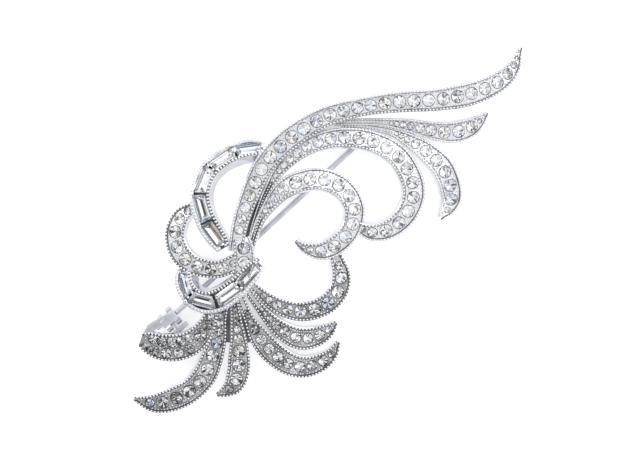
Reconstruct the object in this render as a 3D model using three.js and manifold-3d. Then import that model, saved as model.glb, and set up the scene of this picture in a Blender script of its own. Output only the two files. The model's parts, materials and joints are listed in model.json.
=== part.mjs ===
// Crystal spray brooch. Feathers and scrolls of rhodium-plated metal, set with crystals, rise
// from a knot that is tied by two ribbons of baguette crystals. A hinged pin and a roller catch
// are soldered behind.
//
// Millimetres, +Z up. The brooch lies on its back on z = 0 with its face up, and the long top
// feather ends towards +X +Y. The origin is under the middle of the whole piece.

import * as THREE from 'three';
import { mergeVertices } from 'three/addons/utils/BufferGeometryUtils.js';
import Module from 'manifold-3d';

const wasm = await Module();
wasm.setup();

// ---------------------------------------------------------------- driving dimensions

// The whole spray. The layout below is drawn for the three DRAWN sizes and stretched to these.
const SPRAY_LENGTH = 65.4;
const SPRAY_BREADTH = 62;
const DOME_HEIGHT = 8;
const DRAWN_LENGTH = 65.4;
const DRAWN_BREADTH = 62;
const DRAWN_HEIGHT = 8;

// Pave strips: an open channel between two rails.
const STRIP_DEPTH = 1.9;
const TIP_DEPTH = 1.2;
const RAIL_WIDTH = 0.45;
const PAVE_RECESS = 0.35;
const PAVE_WALL_SHOWING = 1.1;
const DEPTH_PER_WIDTH = 0.3;
const BASE_SHARE = 0.85;
const RAIL_LIMIT_SHARE = 0.3;
const FLOOR_LIMIT_SHARE = 0.6;
const STEP_LENGTH = 1.9;

// Baguette ribbons and the crystals in them.
const RIBBON_DEPTH = 2.3;
const RIBBON_RAIL = 0.5;
const RIBBON_MARGIN = 0.25;
const BAGUETTE_SPACING = 0.5;
const BAGUETTE_WIDTH = 2.1;
const BAGUETTE_HEIGHT = 1.1;
const BAGUETTE_BEVEL = 0.4;
const BAGUETTE_GIRDLE = 0.2;
const BAGUETTE_FOOT_INSET = 0.6;
const SEAT_GAP = 0.3;

// Pin, hinge and catch.
const PIN_RADIUS = 0.5;
const PIN_TIP_RADIUS = 0.08;
const PIN_POINT_RADIUS = 0.31;
const PIN_POINT_LENGTH = 2;
const PIN_TAPER_LENGTH = 6;
const PIN_PAST_CATCH = 1.2;
const PIN_HEIGHT = 1.6;
const KNUCKLE_RADIUS = 1.2;
const KNUCKLE_WIDTH = 1;
const RIVET_RADIUS = 0.4;
const RIVET_HEAD = 0.2;
const CHEEK_THICKNESS = 0.8;
const CHEEK_LENGTH = 2.8;
const MOVING_GAP = 0.25;
const CATCH_LENGTH = 3;
const RING_LENGTH = 1.05;
const RING_WALL = 0.4;
const ROLLER_WALL = 0.35;
const ROLLER_BORE = 0.75;
const ROLLER_MOUTH_HALF_ANGLE = 56;
const THUMB_BAR_LENGTH = 3.7;
const THUMB_BAR_WIDTH = 0.9;
const THUMB_BAR_THICKNESS = 0.7;
const THUMB_NECK_WIDTH = 0.5;
const ARM_WIDTH = 1.5;
const ARM_THICKNESS = 0.8;
const ARM_BELOW_FEATHER = 0.6;
const ARM_STEPS = 8;
const SOLDER_OVERLAP = 0.2;
const ROUND_SIDES = 12;
const RING_SEGMENTS = 14;

// ---------------------------------------------------------------- layout

// Where the hinge rivet and the middle of the catch lie on the plan.
const HINGE_PLACE = [6.3, 15.4];
const CATCH_PLACE = [-26.4, -15.1];

// The catch's arm bends from beside the catch to under the blunt end of the first tail feather:
// offsets on the plan from the catch, from half way between the two, and from the feather's end.
const ARM_AT_CATCH = [[0.4, 0.5], [-1.2, -0.4]];
const ARM_HALF_WAY = [-0.9, 0.4];
const ARM_AT_FEATHER = [[0.5, 0.9], [0.9, -0.8]];
const ARM_FEATHER_SHARE = 0.97;

// Each strip runs from its root to its tip through stations of
// [x, y, height of the face above the table, share of the strip's width].
// lean is how far its face rolls, in degrees, at the root, the middle and the tip. A strip that
// leans by a positive angle turns its face towards the right of the way it runs.
const PAVE_STRIPS = {
  topFeather: {
    width: 3.9,
    lean: [-8, 2, 18],
    stations: [
      [-15.2, -3.8, 6.4, 0.62],
      [-14.3, 1.2, 6.8, 0.7],
      [-12.5, 6.3, 7, 0.82],
      [-10.3, 10.8, 7, 0.9],
      [-6.1, 15.1, 6.8, 0.98],
      [-0.2, 18.7, 6.5, 0.87],
      [5.7, 20.3, 6.2, 0.8],
      [12.2, 21.2, 5.8, 0.9],
      [18.2, 21.6, 5.1, 0.95],
      [23.9, 22.6, 4.2, 1.02],
      [28.4, 24.5, 3.1, 0.9],
      [31, 27, 2, 0.7],
      [32.4, 30.6, 1.1, 0.18],
    ],
  },
  secondFeather: {
    width: 3.6,
    lean: [0, 8, 20],
    stations: [
      [1.2, 17.8, 5.6, 0.3],
      [5, 17.9, 5.6, 0.32],
      [9.2, 17.8, 5.4, 0.38],
      [13.5, 17.3, 5, 0.62],
      [17.3, 16.5, 4.5, 0.82],
      [20.8, 16.2, 3.9, 1],
      [23.5, 16.8, 3.3, 0.97],
      [25.5, 18.1, 2.7, 0.66],
      [26.8, 19.6, 2.1, 0.17],
    ],
  },
  thirdFeather: {
    width: 3.8,
    lean: [0, -12, -22],
    stations: [
      [2.5, 17.3, 5.4, 0.25],
      [6.5, 17, 5.3, 0.28],
      [10.8, 16.2, 5, 0.38],
      [14.2, 14.5, 4.6, 0.66],
      [16.7, 12.8, 4.2, 0.87],
      [19.1, 10.5, 3.7, 1],
      [20.4, 7.8, 3.1, 1],
      [20.8, 5.3, 2.4, 0.95],
      [20.1, 3.3, 1.7, 0.7],
      [18.8, 1.7, 1.1, 0.22],
    ],
  },
  outerScroll: {
    width: 3.9,
    lean: [-4, -10, -20],
    stations: [
      [-12.7, -2, 6.2, 0.25],
      [-11.9, 1.2, 6.2, 0.27],
      [-10.2, 5.8, 6.3, 0.33],
      [-7.7, 10, 6.3, 0.52],
      [-4.2, 13.1, 6.2, 0.7],
      [-0.3, 14.8, 6, 0.78],
      [3.8, 15.2, 5.9, 0.85],
      [8, 14.4, 5.7, 0.9],
      [11.7, 12.2, 5.4, 0.97],
      [13.9, 8.7, 5, 1],
      [14.4, 5.5, 4.7, 1],
      [13, 2.2, 4.4, 0.95],
      [10.3, 0, 4.3, 0.87],
      [7.5, -0.5, 4.4, 0.74],
      [5.2, 0.4, 4.6, 0.45],
    ],
  },
  innerScroll: {
    width: 3.7,
    lean: [-4, -12, -20],
    stations: [
      [-12.9, -4, 6.3, 0.35],
      [-12.1, -1.2, 6.4, 0.36],
      [-11, 1.7, 6.4, 0.42],
      [-9.3, 4.3, 6.3, 0.63],
      [-7.2, 6.6, 6.2, 0.86],
      [-4.5, 7.9, 6.1, 0.97],
      [-1.3, 8.3, 6, 1],
      [1.8, 7.3, 5.8, 1],
      [3.8, 5.3, 5.5, 0.97],
      [4.6, 2.8, 5.2, 0.93],
      [3.8, -0.2, 5, 0.93],
      [1.8, -2.4, 4.8, 0.93],
      [-0.8, -3.6, 4.6, 0.86],
      [-3.5, -3.2, 4.4, 0.54],
      [-5.2, -1.9, 4.3, 0.18],
    ],
  },
  lowerScroll: {
    width: 3.5,
    lean: [4, 12, 16],
    stations: [
      [-13.5, -8.5, 6, 0.3],
      [-11.8, -10, 5.8, 0.43],
      [-9.8, -11.7, 5.4, 0.63],
      [-7.5, -13, 5, 0.8],
      [-4.8, -13.7, 4.6, 0.9],
      [-2.2, -13.4, 4.4, 0.95],
      [0.3, -12.2, 4.3, 1],
      [2, -10, 4.3, 0.97],
      [2.3, -7.5, 4.4, 0.88],
      [1.4, -4.6, 4.6, 0.6],
    ],
  },
  tailFeather1: {
    width: 4.6,
    lean: [-4, -10, -14],
    stations: [
      [-17.6, -10.7, 6.3, 0.25],
      [-19, -13.8, 5.6, 0.48],
      [-20.3, -16.5, 5.4, 0.72],
      [-22.3, -18.7, 5.1, 0.91],
      [-25, -19.7, 4.8, 1],
      [-27.8, -19.6, 4.5, 0.98],
      [-30, -18.8, 4.3, 0.8],
      [-31.1, -18.4, 4.2, 0.5],
    ],
  },
  tailFeather2: {
    width: 4.2,
    lean: [-4, -14, -22],
    stations: [
      [-16.6, -10.5, 6.5, 0.3],
      [-17.7, -14.8, 5.5, 0.48],
      [-18.2, -18.2, 5, 0.67],
      [-19.2, -21.3, 4.4, 0.88],
      [-20.5, -24.4, 3.7, 0.98],
      [-22.8, -26.9, 3, 1],
      [-26, -28.5, 2.3, 1],
      [-29.2, -29.1, 1.7, 0.76],
      [-32.3, -28.3, 1.1, 0.19],
    ],
  },
  tailFeather3: {
    width: 3.7,
    lean: [0, -4, -8],
    stations: [
      [-15.6, -10.4, 6.5, 0.32],
      [-15.2, -14.5, 5.5, 0.49],
      [-14.8, -18.2, 5, 0.73],
      [-14.7, -21.3, 4.4, 0.97],
      [-14.8, -23.8, 3.8, 1.02],
      [-15.6, -26, 3.2, 0.92],
      [-17.1, -27.2, 2.6, 0.55],
      [-18.5, -27.7, 2.2, 0.19],
    ],
  },
  tailFeather4: {
    width: 4,
    lean: [4, 14, 20],
    stations: [
      [-15.1, -9.8, 6.6, 0.32],
      [-13, -14.8, 5.4, 0.45],
      [-11.4, -17.7, 4.9, 0.84],
      [-9.3, -20.3, 4.2, 1],
      [-6.5, -22.4, 3.5, 1],
      [-3.7, -23, 2.8, 0.93],
      [-1, -22.2, 2.2, 0.8],
      [0.8, -20.8, 1.6, 0.55],
      [1.8, -18.8, 1.1, 0.2],
    ],
  },
  tailFeather5: {
    width: 3.8,
    lean: [4, 14, 20],
    stations: [
      [-14.3, -8.7, 6.6, 0.32],
      [-11.7, -12.3, 5.5, 0.37],
      [-9.5, -15, 5.1, 0.58],
      [-7.2, -17, 4.6, 0.82],
      [-4.5, -18.2, 4, 1],
      [-1.8, -17.9, 3.4, 0.92],
      [0.2, -16.8, 2.9, 0.66],
      [1.5, -15.5, 2.5, 0.21],
    ],
  },
  loop: {
    width: 3.6,
    lean: [20, 16, 8],
    stations: [
      [-21.8, 3.8, 5.8, 0.42],
      [-24, 2.3, 5.4, 0.78],
      [-25.1, 0.2, 5.1, 0.92],
      [-25.2, -2, 5.1, 0.97],
      [-24.3, -4.2, 5.3, 1],
      [-22.5, -5.8, 5.6, 0.92],
      [-20.2, -6.5, 5.9, 0.86],
      [-17.8, -6.6, 6.2, 0.81],
      [-14.9, -5.4, 6.5, 0.83],
    ],
  },
  knot: {
    width: 3.5,
    lean: [0, 0, 0],
    stations: [
      [-14.3, -1.5, 6.5, 0.86],
      [-13.8, -3.5, 6.9, 0.97],
      [-13.8, -5.5, 7, 1],
      [-14.3, -7.7, 6.9, 0.9],
      [-15.3, -10.8, 6.2, 1.15],
    ],
  },
};

const RIBBONS = {
  upper: {
    lean: [38, 22, 8],
    baguettes: 5,
    firstBaguette: 0.4,
    stations: [
      [-10.2, 13.6, 5.6, 0.7],
      [-12.5, 13.7, 5.8, 1],
      [-14.8, 13.2, 6.2, 1],
      [-17.5, 11.9, 6.7, 1],
      [-19.8, 9.8, 7.1, 1],
      [-21, 7.3, 7.4, 1],
      [-21.2, 4.8, 7.5, 1],
      [-20.6, 2.4, 7.4, 1],
      [-19.5, 0.1, 7.2, 1],
      [-18.1, -1.9, 7, 0.9],
      [-17.2, -3.3, 6.9, 0.65],
    ],
  },
  lower: {
    lean: [46, 14, 6],
    baguettes: 4,
    firstBaguette: 0.8,
    stations: [
      [-24, -6.2, 3.8, 0.7],
      [-24.2, -7.8, 4.6, 1],
      [-23.7, -9.8, 5.6, 1],
      [-22.2, -11.6, 6.3, 1.05],
      [-20, -12.3, 6.8, 1.1],
      [-17.7, -11.7, 7.3, 1.1],
      [-15.5, -10.2, 7.8, 1.05],
      [-13.7, -8.5, 8, 0.95],
      [-12, -6.7, 7.6, 0.85],
      [-10.8, -5.5, 6.9, 0.6],
    ],
  },
};

// ---------------------------------------------------------------- helpers

const UP = new THREE.Vector3(0, 0, 1);
const STRETCH_X = SPRAY_LENGTH / DRAWN_LENGTH;
const STRETCH_Y = SPRAY_BREADTH / DRAWN_BREADTH;
const STRETCH_Z = DOME_HEIGHT / DRAWN_HEIGHT;

const radians = THREE.MathUtils.degToRad;

const planPoint = ([x, y]) => new THREE.Vector2(x * STRETCH_X, y * STRETCH_Y);

// A solid from closed geometry whose shared corners are merged.
function solidFrom(geometry) {
  const positionOnly = geometry.clone();
  positionOnly.deleteAttribute('normal');
  positionOnly.deleteAttribute('uv');
  const merged = mergeVertices(positionOnly, 1e-4);
  return new wasm.Manifold(new wasm.Mesh({
    numProp: 3,
    vertProperties: new Float32Array(merged.attributes.position.array),
    triVerts: new Uint32Array(merged.index.array),
  }));
}

function geometryFrom(solid) {
  const mesh = solid.getMesh();
  const geometry = new THREE.BufferGeometry();
  geometry.setAttribute('position', new THREE.BufferAttribute(mesh.vertProperties, 3));
  geometry.setIndex(new THREE.BufferAttribute(mesh.triVerts, 1));
  geometry.computeVertexNormals();
  return geometry;
}

const union = (solids) => solids.reduce((whole, piece) => whole.add(piece));

// Joins rings of corners, each listed anticlockwise as seen from behind the first ring.
function loft(section, rings) {
  const count = section.length;
  const indices = [];
  for (let ring = 0; ring + 1 < rings.length; ring += 1) {
    for (let corner = 0; corner < count; corner += 1) {
      const next = (corner + 1) % count;
      const here = ring * count;
      const there = here + count;
      indices.push(here + corner, there + corner, here + next);
      indices.push(here + next, there + corner, there + next);
    }
  }
  const last = (rings.length - 1) * count;
  for (const [a, b, c] of THREE.ShapeUtils.triangulateShape(section, [])) {
    const area = THREE.ShapeUtils.area([section[a], section[b], section[c]]);
    const [p, q] = area > 0 ? [b, c] : [c, b];
    indices.push(a, p, q);
    indices.push(last + a, last + q, last + p);
  }
  const geometry = new THREE.BufferGeometry();
  const corners = rings.flat().flatMap((corner) => corner.toArray());
  geometry.setAttribute('position', new THREE.Float32BufferAttribute(corners, 3));
  geometry.setIndex(indices);
  return geometry;
}

// ---------------------------------------------------------------- strips

// The curve of a strip through its stations, and what changes along it.
class StripPath {
  constructor({ stations, lean }, width, wallShowing) {
    this.lean = lean;
    this.width = width;
    this.wallShowing = wallShowing;
    this.centre = new THREE.CatmullRomCurve3(stations.map(([x, y, height]) => (
      new THREE.Vector3(x * STRETCH_X, y * STRETCH_Y, height * STRETCH_Z))), false, 'catmullrom');
    this.shares = new THREE.CatmullRomCurve3(stations.map(([, , , share]) => (
      new THREE.Vector3(share, 0, 0))), false, 'catmullrom');
    this.length = this.centre.getLength();
  }

  // The frame at a share of the way along: side points right, out points off the face. The
  // stations mark the middle of what shows from above: the leaning face, and so much of the wall
  // beside it as wallShowing says.
  at(place) {
    const share = this.centre.getUtoTmapping(place);
    const tangent = this.centre.getTangent(share);
    const level = new THREE.Vector3().crossVectors(tangent, UP).normalize();
    const face = new THREE.Vector3().crossVectors(level, tangent);
    const [root, middle, tip] = this.lean;
    const lean = share < 0.5
      ? THREE.MathUtils.lerp(root, middle, share * 2)
      : THREE.MathUtils.lerp(middle, tip, share * 2 - 1);
    const roll = radians(lean);
    return {
      point: this.centre.getPoint(share)
        .addScaledVector(level, Math.sin(roll) * this.wallShowing / 2),
      tangent,
      side: level.clone().multiplyScalar(Math.cos(roll)).addScaledVector(face, -Math.sin(roll)),
      out: face.clone().multiplyScalar(Math.cos(roll)).addScaledVector(level, Math.sin(roll)),
      width: this.width * this.shares.getPoint(share).x,
    };
  }
}

// The channel's section, anticlockwise: the base is a little narrower than the face. On a narrow
// or thin stretch the rails and the recess are held to a share of it.
function channelSection(width, depth, railWidth, recess) {
  const half = width / 2;
  const rail = Math.min(railWidth, width * RAIL_LIMIT_SHARE);
  const floor = Math.min(recess, depth * FLOOR_LIMIT_SHARE);
  return [
    new THREE.Vector2(-half * BASE_SHARE, -depth),
    new THREE.Vector2(half * BASE_SHARE, -depth),
    new THREE.Vector2(half, 0),
    new THREE.Vector2(half - rail, 0),
    new THREE.Vector2(half - rail, -floor),
    new THREE.Vector2(rail - half, -floor),
    new THREE.Vector2(rail - half, 0),
    new THREE.Vector2(-half, 0),
  ];
}

function channelSolid(path, depthAt, railWidth, recess) {
  const steps = Math.ceil(path.length / STEP_LENGTH);
  const rings = [];
  for (let step = 0; step <= steps; step += 1) {
    const { point, side, out, width } = path.at(step / steps);
    rings.push(channelSection(width, depthAt(width), railWidth, recess).map(({ x, y }) => (
      point.clone().addScaledVector(side, x).addScaledVector(out, y))));
  }
  const section = channelSection(path.width, STRIP_DEPTH, railWidth, recess);
  return solidFrom(loft(section, rings));
}

const paveDepth = (width) => Math.min(STRIP_DEPTH, TIP_DEPTH + width * DEPTH_PER_WIDTH);

const stripPaths = Object.fromEntries(Object.entries(PAVE_STRIPS)
  .map(([name, strip]) => [name, new StripPath(strip, strip.width, PAVE_WALL_SHOWING)]));

const paveSolids = () => Object.values(stripPaths)
  .map((path) => channelSolid(path, paveDepth, RAIL_WIDTH, PAVE_RECESS));

// ---------------------------------------------------------------- baguettes

const BAGUETTE_REACH = BAGUETTE_HEIGHT + SEAT_GAP;
const RIBBON_WIDTH = BAGUETTE_WIDTH + (RIBBON_RAIL + RIBBON_MARGIN) * 2;

const ribbonPaths = Object.fromEntries(Object.entries(RIBBONS)
  .map(([name, ribbon]) => [name, new StripPath(ribbon, RIBBON_WIDTH, 0)]));

const ribbonSolids = () => Object.values(ribbonPaths)
  .map((path) => channelSolid(path, () => RIBBON_DEPTH, RIBBON_RAIL, BAGUETTE_REACH));

// Where each baguette of a ribbon sits, and how it is cut. Its ends face its neighbours' ends
// across an even spacing, so the side on the inside of the bend is the shorter one. starts and
// ends are how far along it its corners lie, on its right and then on its left.
function baguetteCuts(name) {
  const { baguettes, firstBaguette } = RIBBONS[name];
  const path = ribbonPaths[name];
  const pitch = (path.length - firstBaguette * 2) / baguettes;
  const frameAt = (count) => path.at((firstBaguette + pitch * count) / path.length);
  return Array.from({ length: baguettes }, (unused, index) => {
    const [first, centre, last] = [index, index + 0.5, index + 1].map(frameAt);
    const chord = first.point.clone().lerp(last.point, 0.5);
    const place = new THREE.Matrix4()
      .makeBasis(centre.tangent, centre.side.clone().negate(), centre.out)
      .setPosition(centre.point.clone().lerp(chord, 0.5));
    const toLocal = place.clone().invert();
    const along = (frame, inward) => [1, -1].map((right) => frame.point.clone()
      .addScaledVector(frame.side, right * BAGUETTE_WIDTH / 2)
      .addScaledVector(frame.tangent, inward * BAGUETTE_SPACING / 2)
      .applyMatrix4(toLocal).x);
    return { place, starts: along(first, 1), ends: along(last, -1) };
  });
}

// The corners of a baguette's outline at a height, anticlockwise as seen from above, set in from
// its full size by an even inset.
function outline({ starts, ends }, inset, height) {
  const half = BAGUETTE_WIDTH / 2 - inset;
  const corner = ([right, left], y, shift) => {
    const x = THREE.MathUtils.lerp(right, left, y / BAGUETTE_WIDTH + 0.5);
    return new THREE.Vector3(x + shift, y, height);
  };
  return [
    corner(starts, -half, inset),
    corner(ends, -half, -inset),
    corner(ends, half, -inset),
    corner(starts, half, inset),
  ];
}

// A stepped block with a small foot, a full girdle and a bevelled table at z = 0.
const baguetteLevels = (cut) => [
  outline(cut, BAGUETTE_BEVEL, 0),
  outline(cut, 0, -BAGUETTE_BEVEL),
  outline(cut, 0, -BAGUETTE_BEVEL - BAGUETTE_GIRDLE),
  outline(cut, BAGUETTE_FOOT_INSET, -BAGUETTE_HEIGHT),
];

// The straight-sided seat that is cut for it.
const seatLevels = (cut) => [
  outline(cut, -SEAT_GAP, SEAT_GAP * 2),
  outline(cut, -SEAT_GAP, -BAGUETTE_REACH),
];

function blockGeometry(levels) {
  return loft(levels[0].map(({ x, y }) => new THREE.Vector2(x, y)), levels);
}

// ---------------------------------------------------------------- pin, hinge and catch

const hingePlace = planPoint(HINGE_PLACE);
const catchPlace = planPoint(CATCH_PLACE);
const pinSpan = hingePlace.distanceTo(catchPlace);

// The pin's own frame: x runs from the hinge to the catch, y across, z up.
const pinFrame = new THREE.Matrix4()
  .makeRotationZ(catchPlace.clone().sub(hingePlace).angle())
  .setPosition(hingePlace.x, hingePlace.y, 0);
const catchFrame = pinFrame.clone().multiply(new THREE.Matrix4().makeTranslation(pinSpan, 0, 0));

const RING_BORE = ROLLER_BORE + ROLLER_WALL + MOVING_GAP;
const RING_RADIUS = RING_BORE + RING_WALL;
const CHEEK_SPACE = KNUCKLE_WIDTH + MOVING_GAP * 2;
const BRIDGE_BASE = PIN_HEIGHT + KNUCKLE_RADIUS + MOVING_GAP;
const ARM_BASE = PIN_HEIGHT + RING_BORE;
const ARM_TOP = ARM_BASE + ARM_THICKNESS;

const placed = (geometry, matrix) => solidFrom(geometry.clone().applyMatrix4(matrix));

function box(from, to) {
  const size = to.map((value, axis) => value - from[axis]);
  const middle = to.map((value, axis) => (value + from[axis]) / 2);
  return new THREE.BoxGeometry(...size).translate(...middle);
}

// The height of the middle of a strip's metal over a place on the plan.
function metalHeight(path, place) {
  const point = path.centre.getSpacedPoints(60).reduce((best, candidate) => (
    place.distanceTo(candidate) < place.distanceTo(best) ? candidate : best));
  return point.z - STRIP_DEPTH / 2;
}

function hingeSolids() {
  const top = metalHeight(stripPaths.outerScroll, hingePlace);
  const half = CHEEK_LENGTH / 2;
  const inner = CHEEK_SPACE / 2;
  const outer = inner + CHEEK_THICKNESS;
  const rivetLength = (outer + RIVET_HEAD) * 2;
  const rivet = new THREE.CylinderGeometry(RIVET_RADIUS, RIVET_RADIUS, rivetLength, ROUND_SIDES)
    .translate(0, 0, PIN_HEIGHT);
  return [
    placed(box([-half, inner, 0], [half, outer, top]), pinFrame),
    placed(box([-half, -outer, 0], [half, -inner, top]), pinFrame),
    placed(box([-half, -outer, BRIDGE_BASE], [half, outer, top]), pinFrame),
    placed(rivet, pinFrame),
  ];
}

// A C-shaped ring across x, open below by twice the half angle.
function openRing(bore, radius, mouthHalfAngle, length) {
  const shape = new THREE.Shape();
  const start = radians(mouthHalfAngle - 90);
  const end = radians(270 - mouthHalfAngle);
  shape.absarc(0, 0, radius, start, end, false);
  shape.absarc(0, 0, bore, end, start, true);
  const settings = { depth: length, bevelEnabled: false, curveSegments: RING_SEGMENTS };
  return new THREE.ExtrudeGeometry(shape, settings)
    .translate(0, 0, -length / 2)
    .applyMatrix4(new THREE.Matrix4().makeBasis(
      new THREE.Vector3(0, 1, 0), new THREE.Vector3(0, 0, 1), new THREE.Vector3(1, 0, 0)))
    .translate(0, 0, PIN_HEIGHT);
}

function catchSolids() {
  const mouth = THREE.MathUtils.radToDeg(Math.asin((PIN_RADIUS + MOVING_GAP) / RING_BORE));
  const offset = (CATCH_LENGTH - RING_LENGTH) / 2;
  const ring = openRing(RING_BORE, RING_RADIUS, mouth, RING_LENGTH);
  const half = CATCH_LENGTH / 2;
  const across = ARM_WIDTH / 2;
  return [
    placed(ring.clone().translate(-offset, 0, 0), catchFrame),
    placed(ring.clone().translate(offset, 0, 0), catchFrame),
    placed(box([-half, -across, ARM_BASE], [half, across, ARM_TOP]), catchFrame),
  ];
}

// The arm that carries the catch, from the blunt end of the first tail feather.
function armSolid() {
  const feather = stripPaths.tailFeather1.at(ARM_FEATHER_SHARE).point;
  const halfWay = new THREE.Vector3(catchPlace.x, catchPlace.y, 0).lerp(feather, 0.5);
  const from = (place, height) => ([x, y]) => new THREE.Vector3(place.x + x, place.y + y, height);
  const featherBase = Math.max(ARM_TOP, feather.z - ARM_BELOW_FEATHER);
  const curve = new THREE.CatmullRomCurve3([
    ...ARM_AT_CATCH.map(from(catchPlace, ARM_TOP)),
    from(halfWay, (ARM_TOP + featherBase) / 2)(ARM_HALF_WAY),
    ...ARM_AT_FEATHER.map(from(feather, featherBase)),
  ]);
  const half = ARM_WIDTH / 2;
  const section = [[-half, -ARM_THICKNESS], [half, -ARM_THICKNESS], [half, 0], [-half, 0]]
    .map(([x, y]) => new THREE.Vector2(x, y));
  const rings = Array.from({ length: ARM_STEPS + 1 }, (unused, step) => {
    const place = step / ARM_STEPS;
    const point = curve.getPointAt(place);
    const side = new THREE.Vector3().crossVectors(curve.getTangentAt(place), UP);
    return section.map(({ x, y }) => point.clone().addScaledVector(side, x).setZ(point.z + y));
  });
  return solidFrom(loft(section, rings));
}

function pinGeometry() {
  const knuckle = new THREE.Shape().absarc(0, 0, KNUCKLE_RADIUS, 0, Math.PI * 2, false);
  knuckle.holes.push(new THREE.Path().absarc(0, 0, RIVET_RADIUS + MOVING_GAP, 0, Math.PI * 2, true));
  const settings = { depth: KNUCKLE_WIDTH, bevelEnabled: false, curveSegments: ROUND_SIDES };
  const ring = new THREE.ExtrudeGeometry(knuckle, settings)
    .translate(0, 0, -KNUCKLE_WIDTH / 2)
    .rotateX(Math.PI / 2);
  const reach = pinSpan + CATCH_LENGTH / 2 + PIN_PAST_CATCH;
  const start = KNUCKLE_RADIUS - SOLDER_OVERLAP;
  const profile = [
    [0, start],
    [PIN_RADIUS, start],
    [PIN_RADIUS, reach - PIN_TAPER_LENGTH],
    [PIN_POINT_RADIUS, reach - PIN_POINT_LENGTH],
    [PIN_TIP_RADIUS, reach],
    [0, reach],
  ].map(([x, y]) => new THREE.Vector2(x, y));
  const stem = new THREE.LatheGeometry(profile, ROUND_SIDES).rotateZ(-Math.PI / 2);
  const lift = new THREE.Matrix4().makeTranslation(0, 0, PIN_HEIGHT);
  return geometryFrom(placed(ring, lift).add(placed(stem, lift)))
    .applyMatrix4(pinFrame);
}

// The roller is stored open, with its mouth down, so that the pin can swing out.
function rollerGeometry() {
  const outer = ROLLER_BORE + ROLLER_WALL;
  const sleeve = openRing(ROLLER_BORE, outer, ROLLER_MOUTH_HALF_ANGLE, CATCH_LENGTH);
  const neck = THUMB_NECK_WIDTH / 2;
  const thick = THUMB_BAR_THICKNESS / 2;
  const barStart = RING_RADIUS + MOVING_GAP;
  const barHalf = THUMB_BAR_LENGTH / 2;
  const low = PIN_HEIGHT - thick;
  const high = PIN_HEIGHT + thick;
  return geometryFrom(union([
    solidFrom(sleeve),
    solidFrom(box([-neck, outer - SOLDER_OVERLAP, low], [neck, barStart + SOLDER_OVERLAP, high])),
    solidFrom(box([-barHalf, barStart, low], [barHalf, barStart + THUMB_BAR_WIDTH, high])),
  ])).applyMatrix4(catchFrame);
}

// ---------------------------------------------------------------- assembly

const material = (color, roughness, metalness) => (
  new THREE.MeshStandardMaterial({ color, roughness, metalness }));

const brooch = new THREE.Group();

function addPart(name, geometry, look) {
  const mesh = new THREE.Mesh(geometry, look);
  mesh.name = name;
  brooch.add(mesh);
}

const baguettes = Object.keys(RIBBONS).flatMap((name) => (
  baguetteCuts(name).map((cut, index) => ({ name: `${name}_baguette_${index + 1}`, cut }))));

function settingGeometry() {
  const metal = union([...paveSolids(), ...ribbonSolids(), ...hingeSolids(), ...catchSolids(),
    armSolid()]);
  const seats = union(baguettes.map(({ cut }) => placed(blockGeometry(seatLevels(cut)), cut.place)));
  const reach = Math.max(SPRAY_LENGTH, SPRAY_BREADTH);
  const aboveTable = solidFrom(box([-reach, -reach, 0], [reach, reach, DOME_HEIGHT * 2]));
  return geometryFrom(metal.subtract(seats).intersect(aboveTable));
}

const rhodium = material(0xd8dade, 0.18, 1);
const crystal = material(0xf2f5f8, 0.05, 0);

addPart('setting', settingGeometry(), rhodium);
for (const { name, cut } of baguettes) {
  addPart(name, blockGeometry(baguetteLevels(cut)).applyMatrix4(cut.place), crystal);
}
addPart('pin_stem', pinGeometry(), rhodium);
addPart('catch_roller', rollerGeometry(), rhodium);

// The origin's place: under the middle of the whole piece.
const extent = new THREE.Box3().setFromObject(brooch);
const middle = extent.getCenter(new THREE.Vector3());
brooch.position.set(-middle.x, -middle.y, -extent.min.z);

export default brooch;
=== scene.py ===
"""The looks of the crystal spray brooch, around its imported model.

The feathers and scrolls repeat the model's layout and get rails of milgrain beads, grain prongs
and round crystals; the ribbons get step-cut baguettes; the hinge, pin and catch get soft edges.
Lengths are millimetres on the brooch's layout; Shape.piece() turns them into metres in the row
frame, whose origin is under the middle of the brooch.
"""

import json
import math

import bmesh
import bpy
import numpy as np
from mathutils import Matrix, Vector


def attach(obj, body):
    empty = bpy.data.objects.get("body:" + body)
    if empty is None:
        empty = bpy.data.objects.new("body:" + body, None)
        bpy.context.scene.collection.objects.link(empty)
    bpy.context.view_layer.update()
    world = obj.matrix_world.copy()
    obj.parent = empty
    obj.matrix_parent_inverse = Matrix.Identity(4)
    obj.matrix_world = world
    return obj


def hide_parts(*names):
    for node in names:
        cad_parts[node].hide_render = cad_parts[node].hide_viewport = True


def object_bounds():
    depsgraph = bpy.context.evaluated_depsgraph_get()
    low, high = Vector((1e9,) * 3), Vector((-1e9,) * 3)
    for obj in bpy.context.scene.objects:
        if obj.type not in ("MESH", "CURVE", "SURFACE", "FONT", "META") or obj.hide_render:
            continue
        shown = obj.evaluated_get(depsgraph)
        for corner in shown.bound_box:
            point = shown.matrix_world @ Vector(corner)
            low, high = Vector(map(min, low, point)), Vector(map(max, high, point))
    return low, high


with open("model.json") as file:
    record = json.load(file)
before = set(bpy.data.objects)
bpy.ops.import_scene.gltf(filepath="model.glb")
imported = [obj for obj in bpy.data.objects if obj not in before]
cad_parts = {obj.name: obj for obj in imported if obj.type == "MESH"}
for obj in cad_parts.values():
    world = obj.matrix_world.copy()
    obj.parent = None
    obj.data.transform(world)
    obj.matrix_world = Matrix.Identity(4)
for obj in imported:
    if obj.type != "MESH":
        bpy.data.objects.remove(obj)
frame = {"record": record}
cad_low, cad_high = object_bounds()

MM = 0.001
UP = np.array((0.0, 0.0, 1.0))
SEED = 7

# The materials of a strip's metal and of its crystals, in the order of their numbers.
# The last two metals are the same rhodium painted darker, as painted shade where the light reaches
# less.
BRIGHT, DECK, SHADE, PAINTED_DEEP_SHADE = range(4)
GLASS, FOIL = 0, 1

# ---- sizes shared with the model

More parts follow.
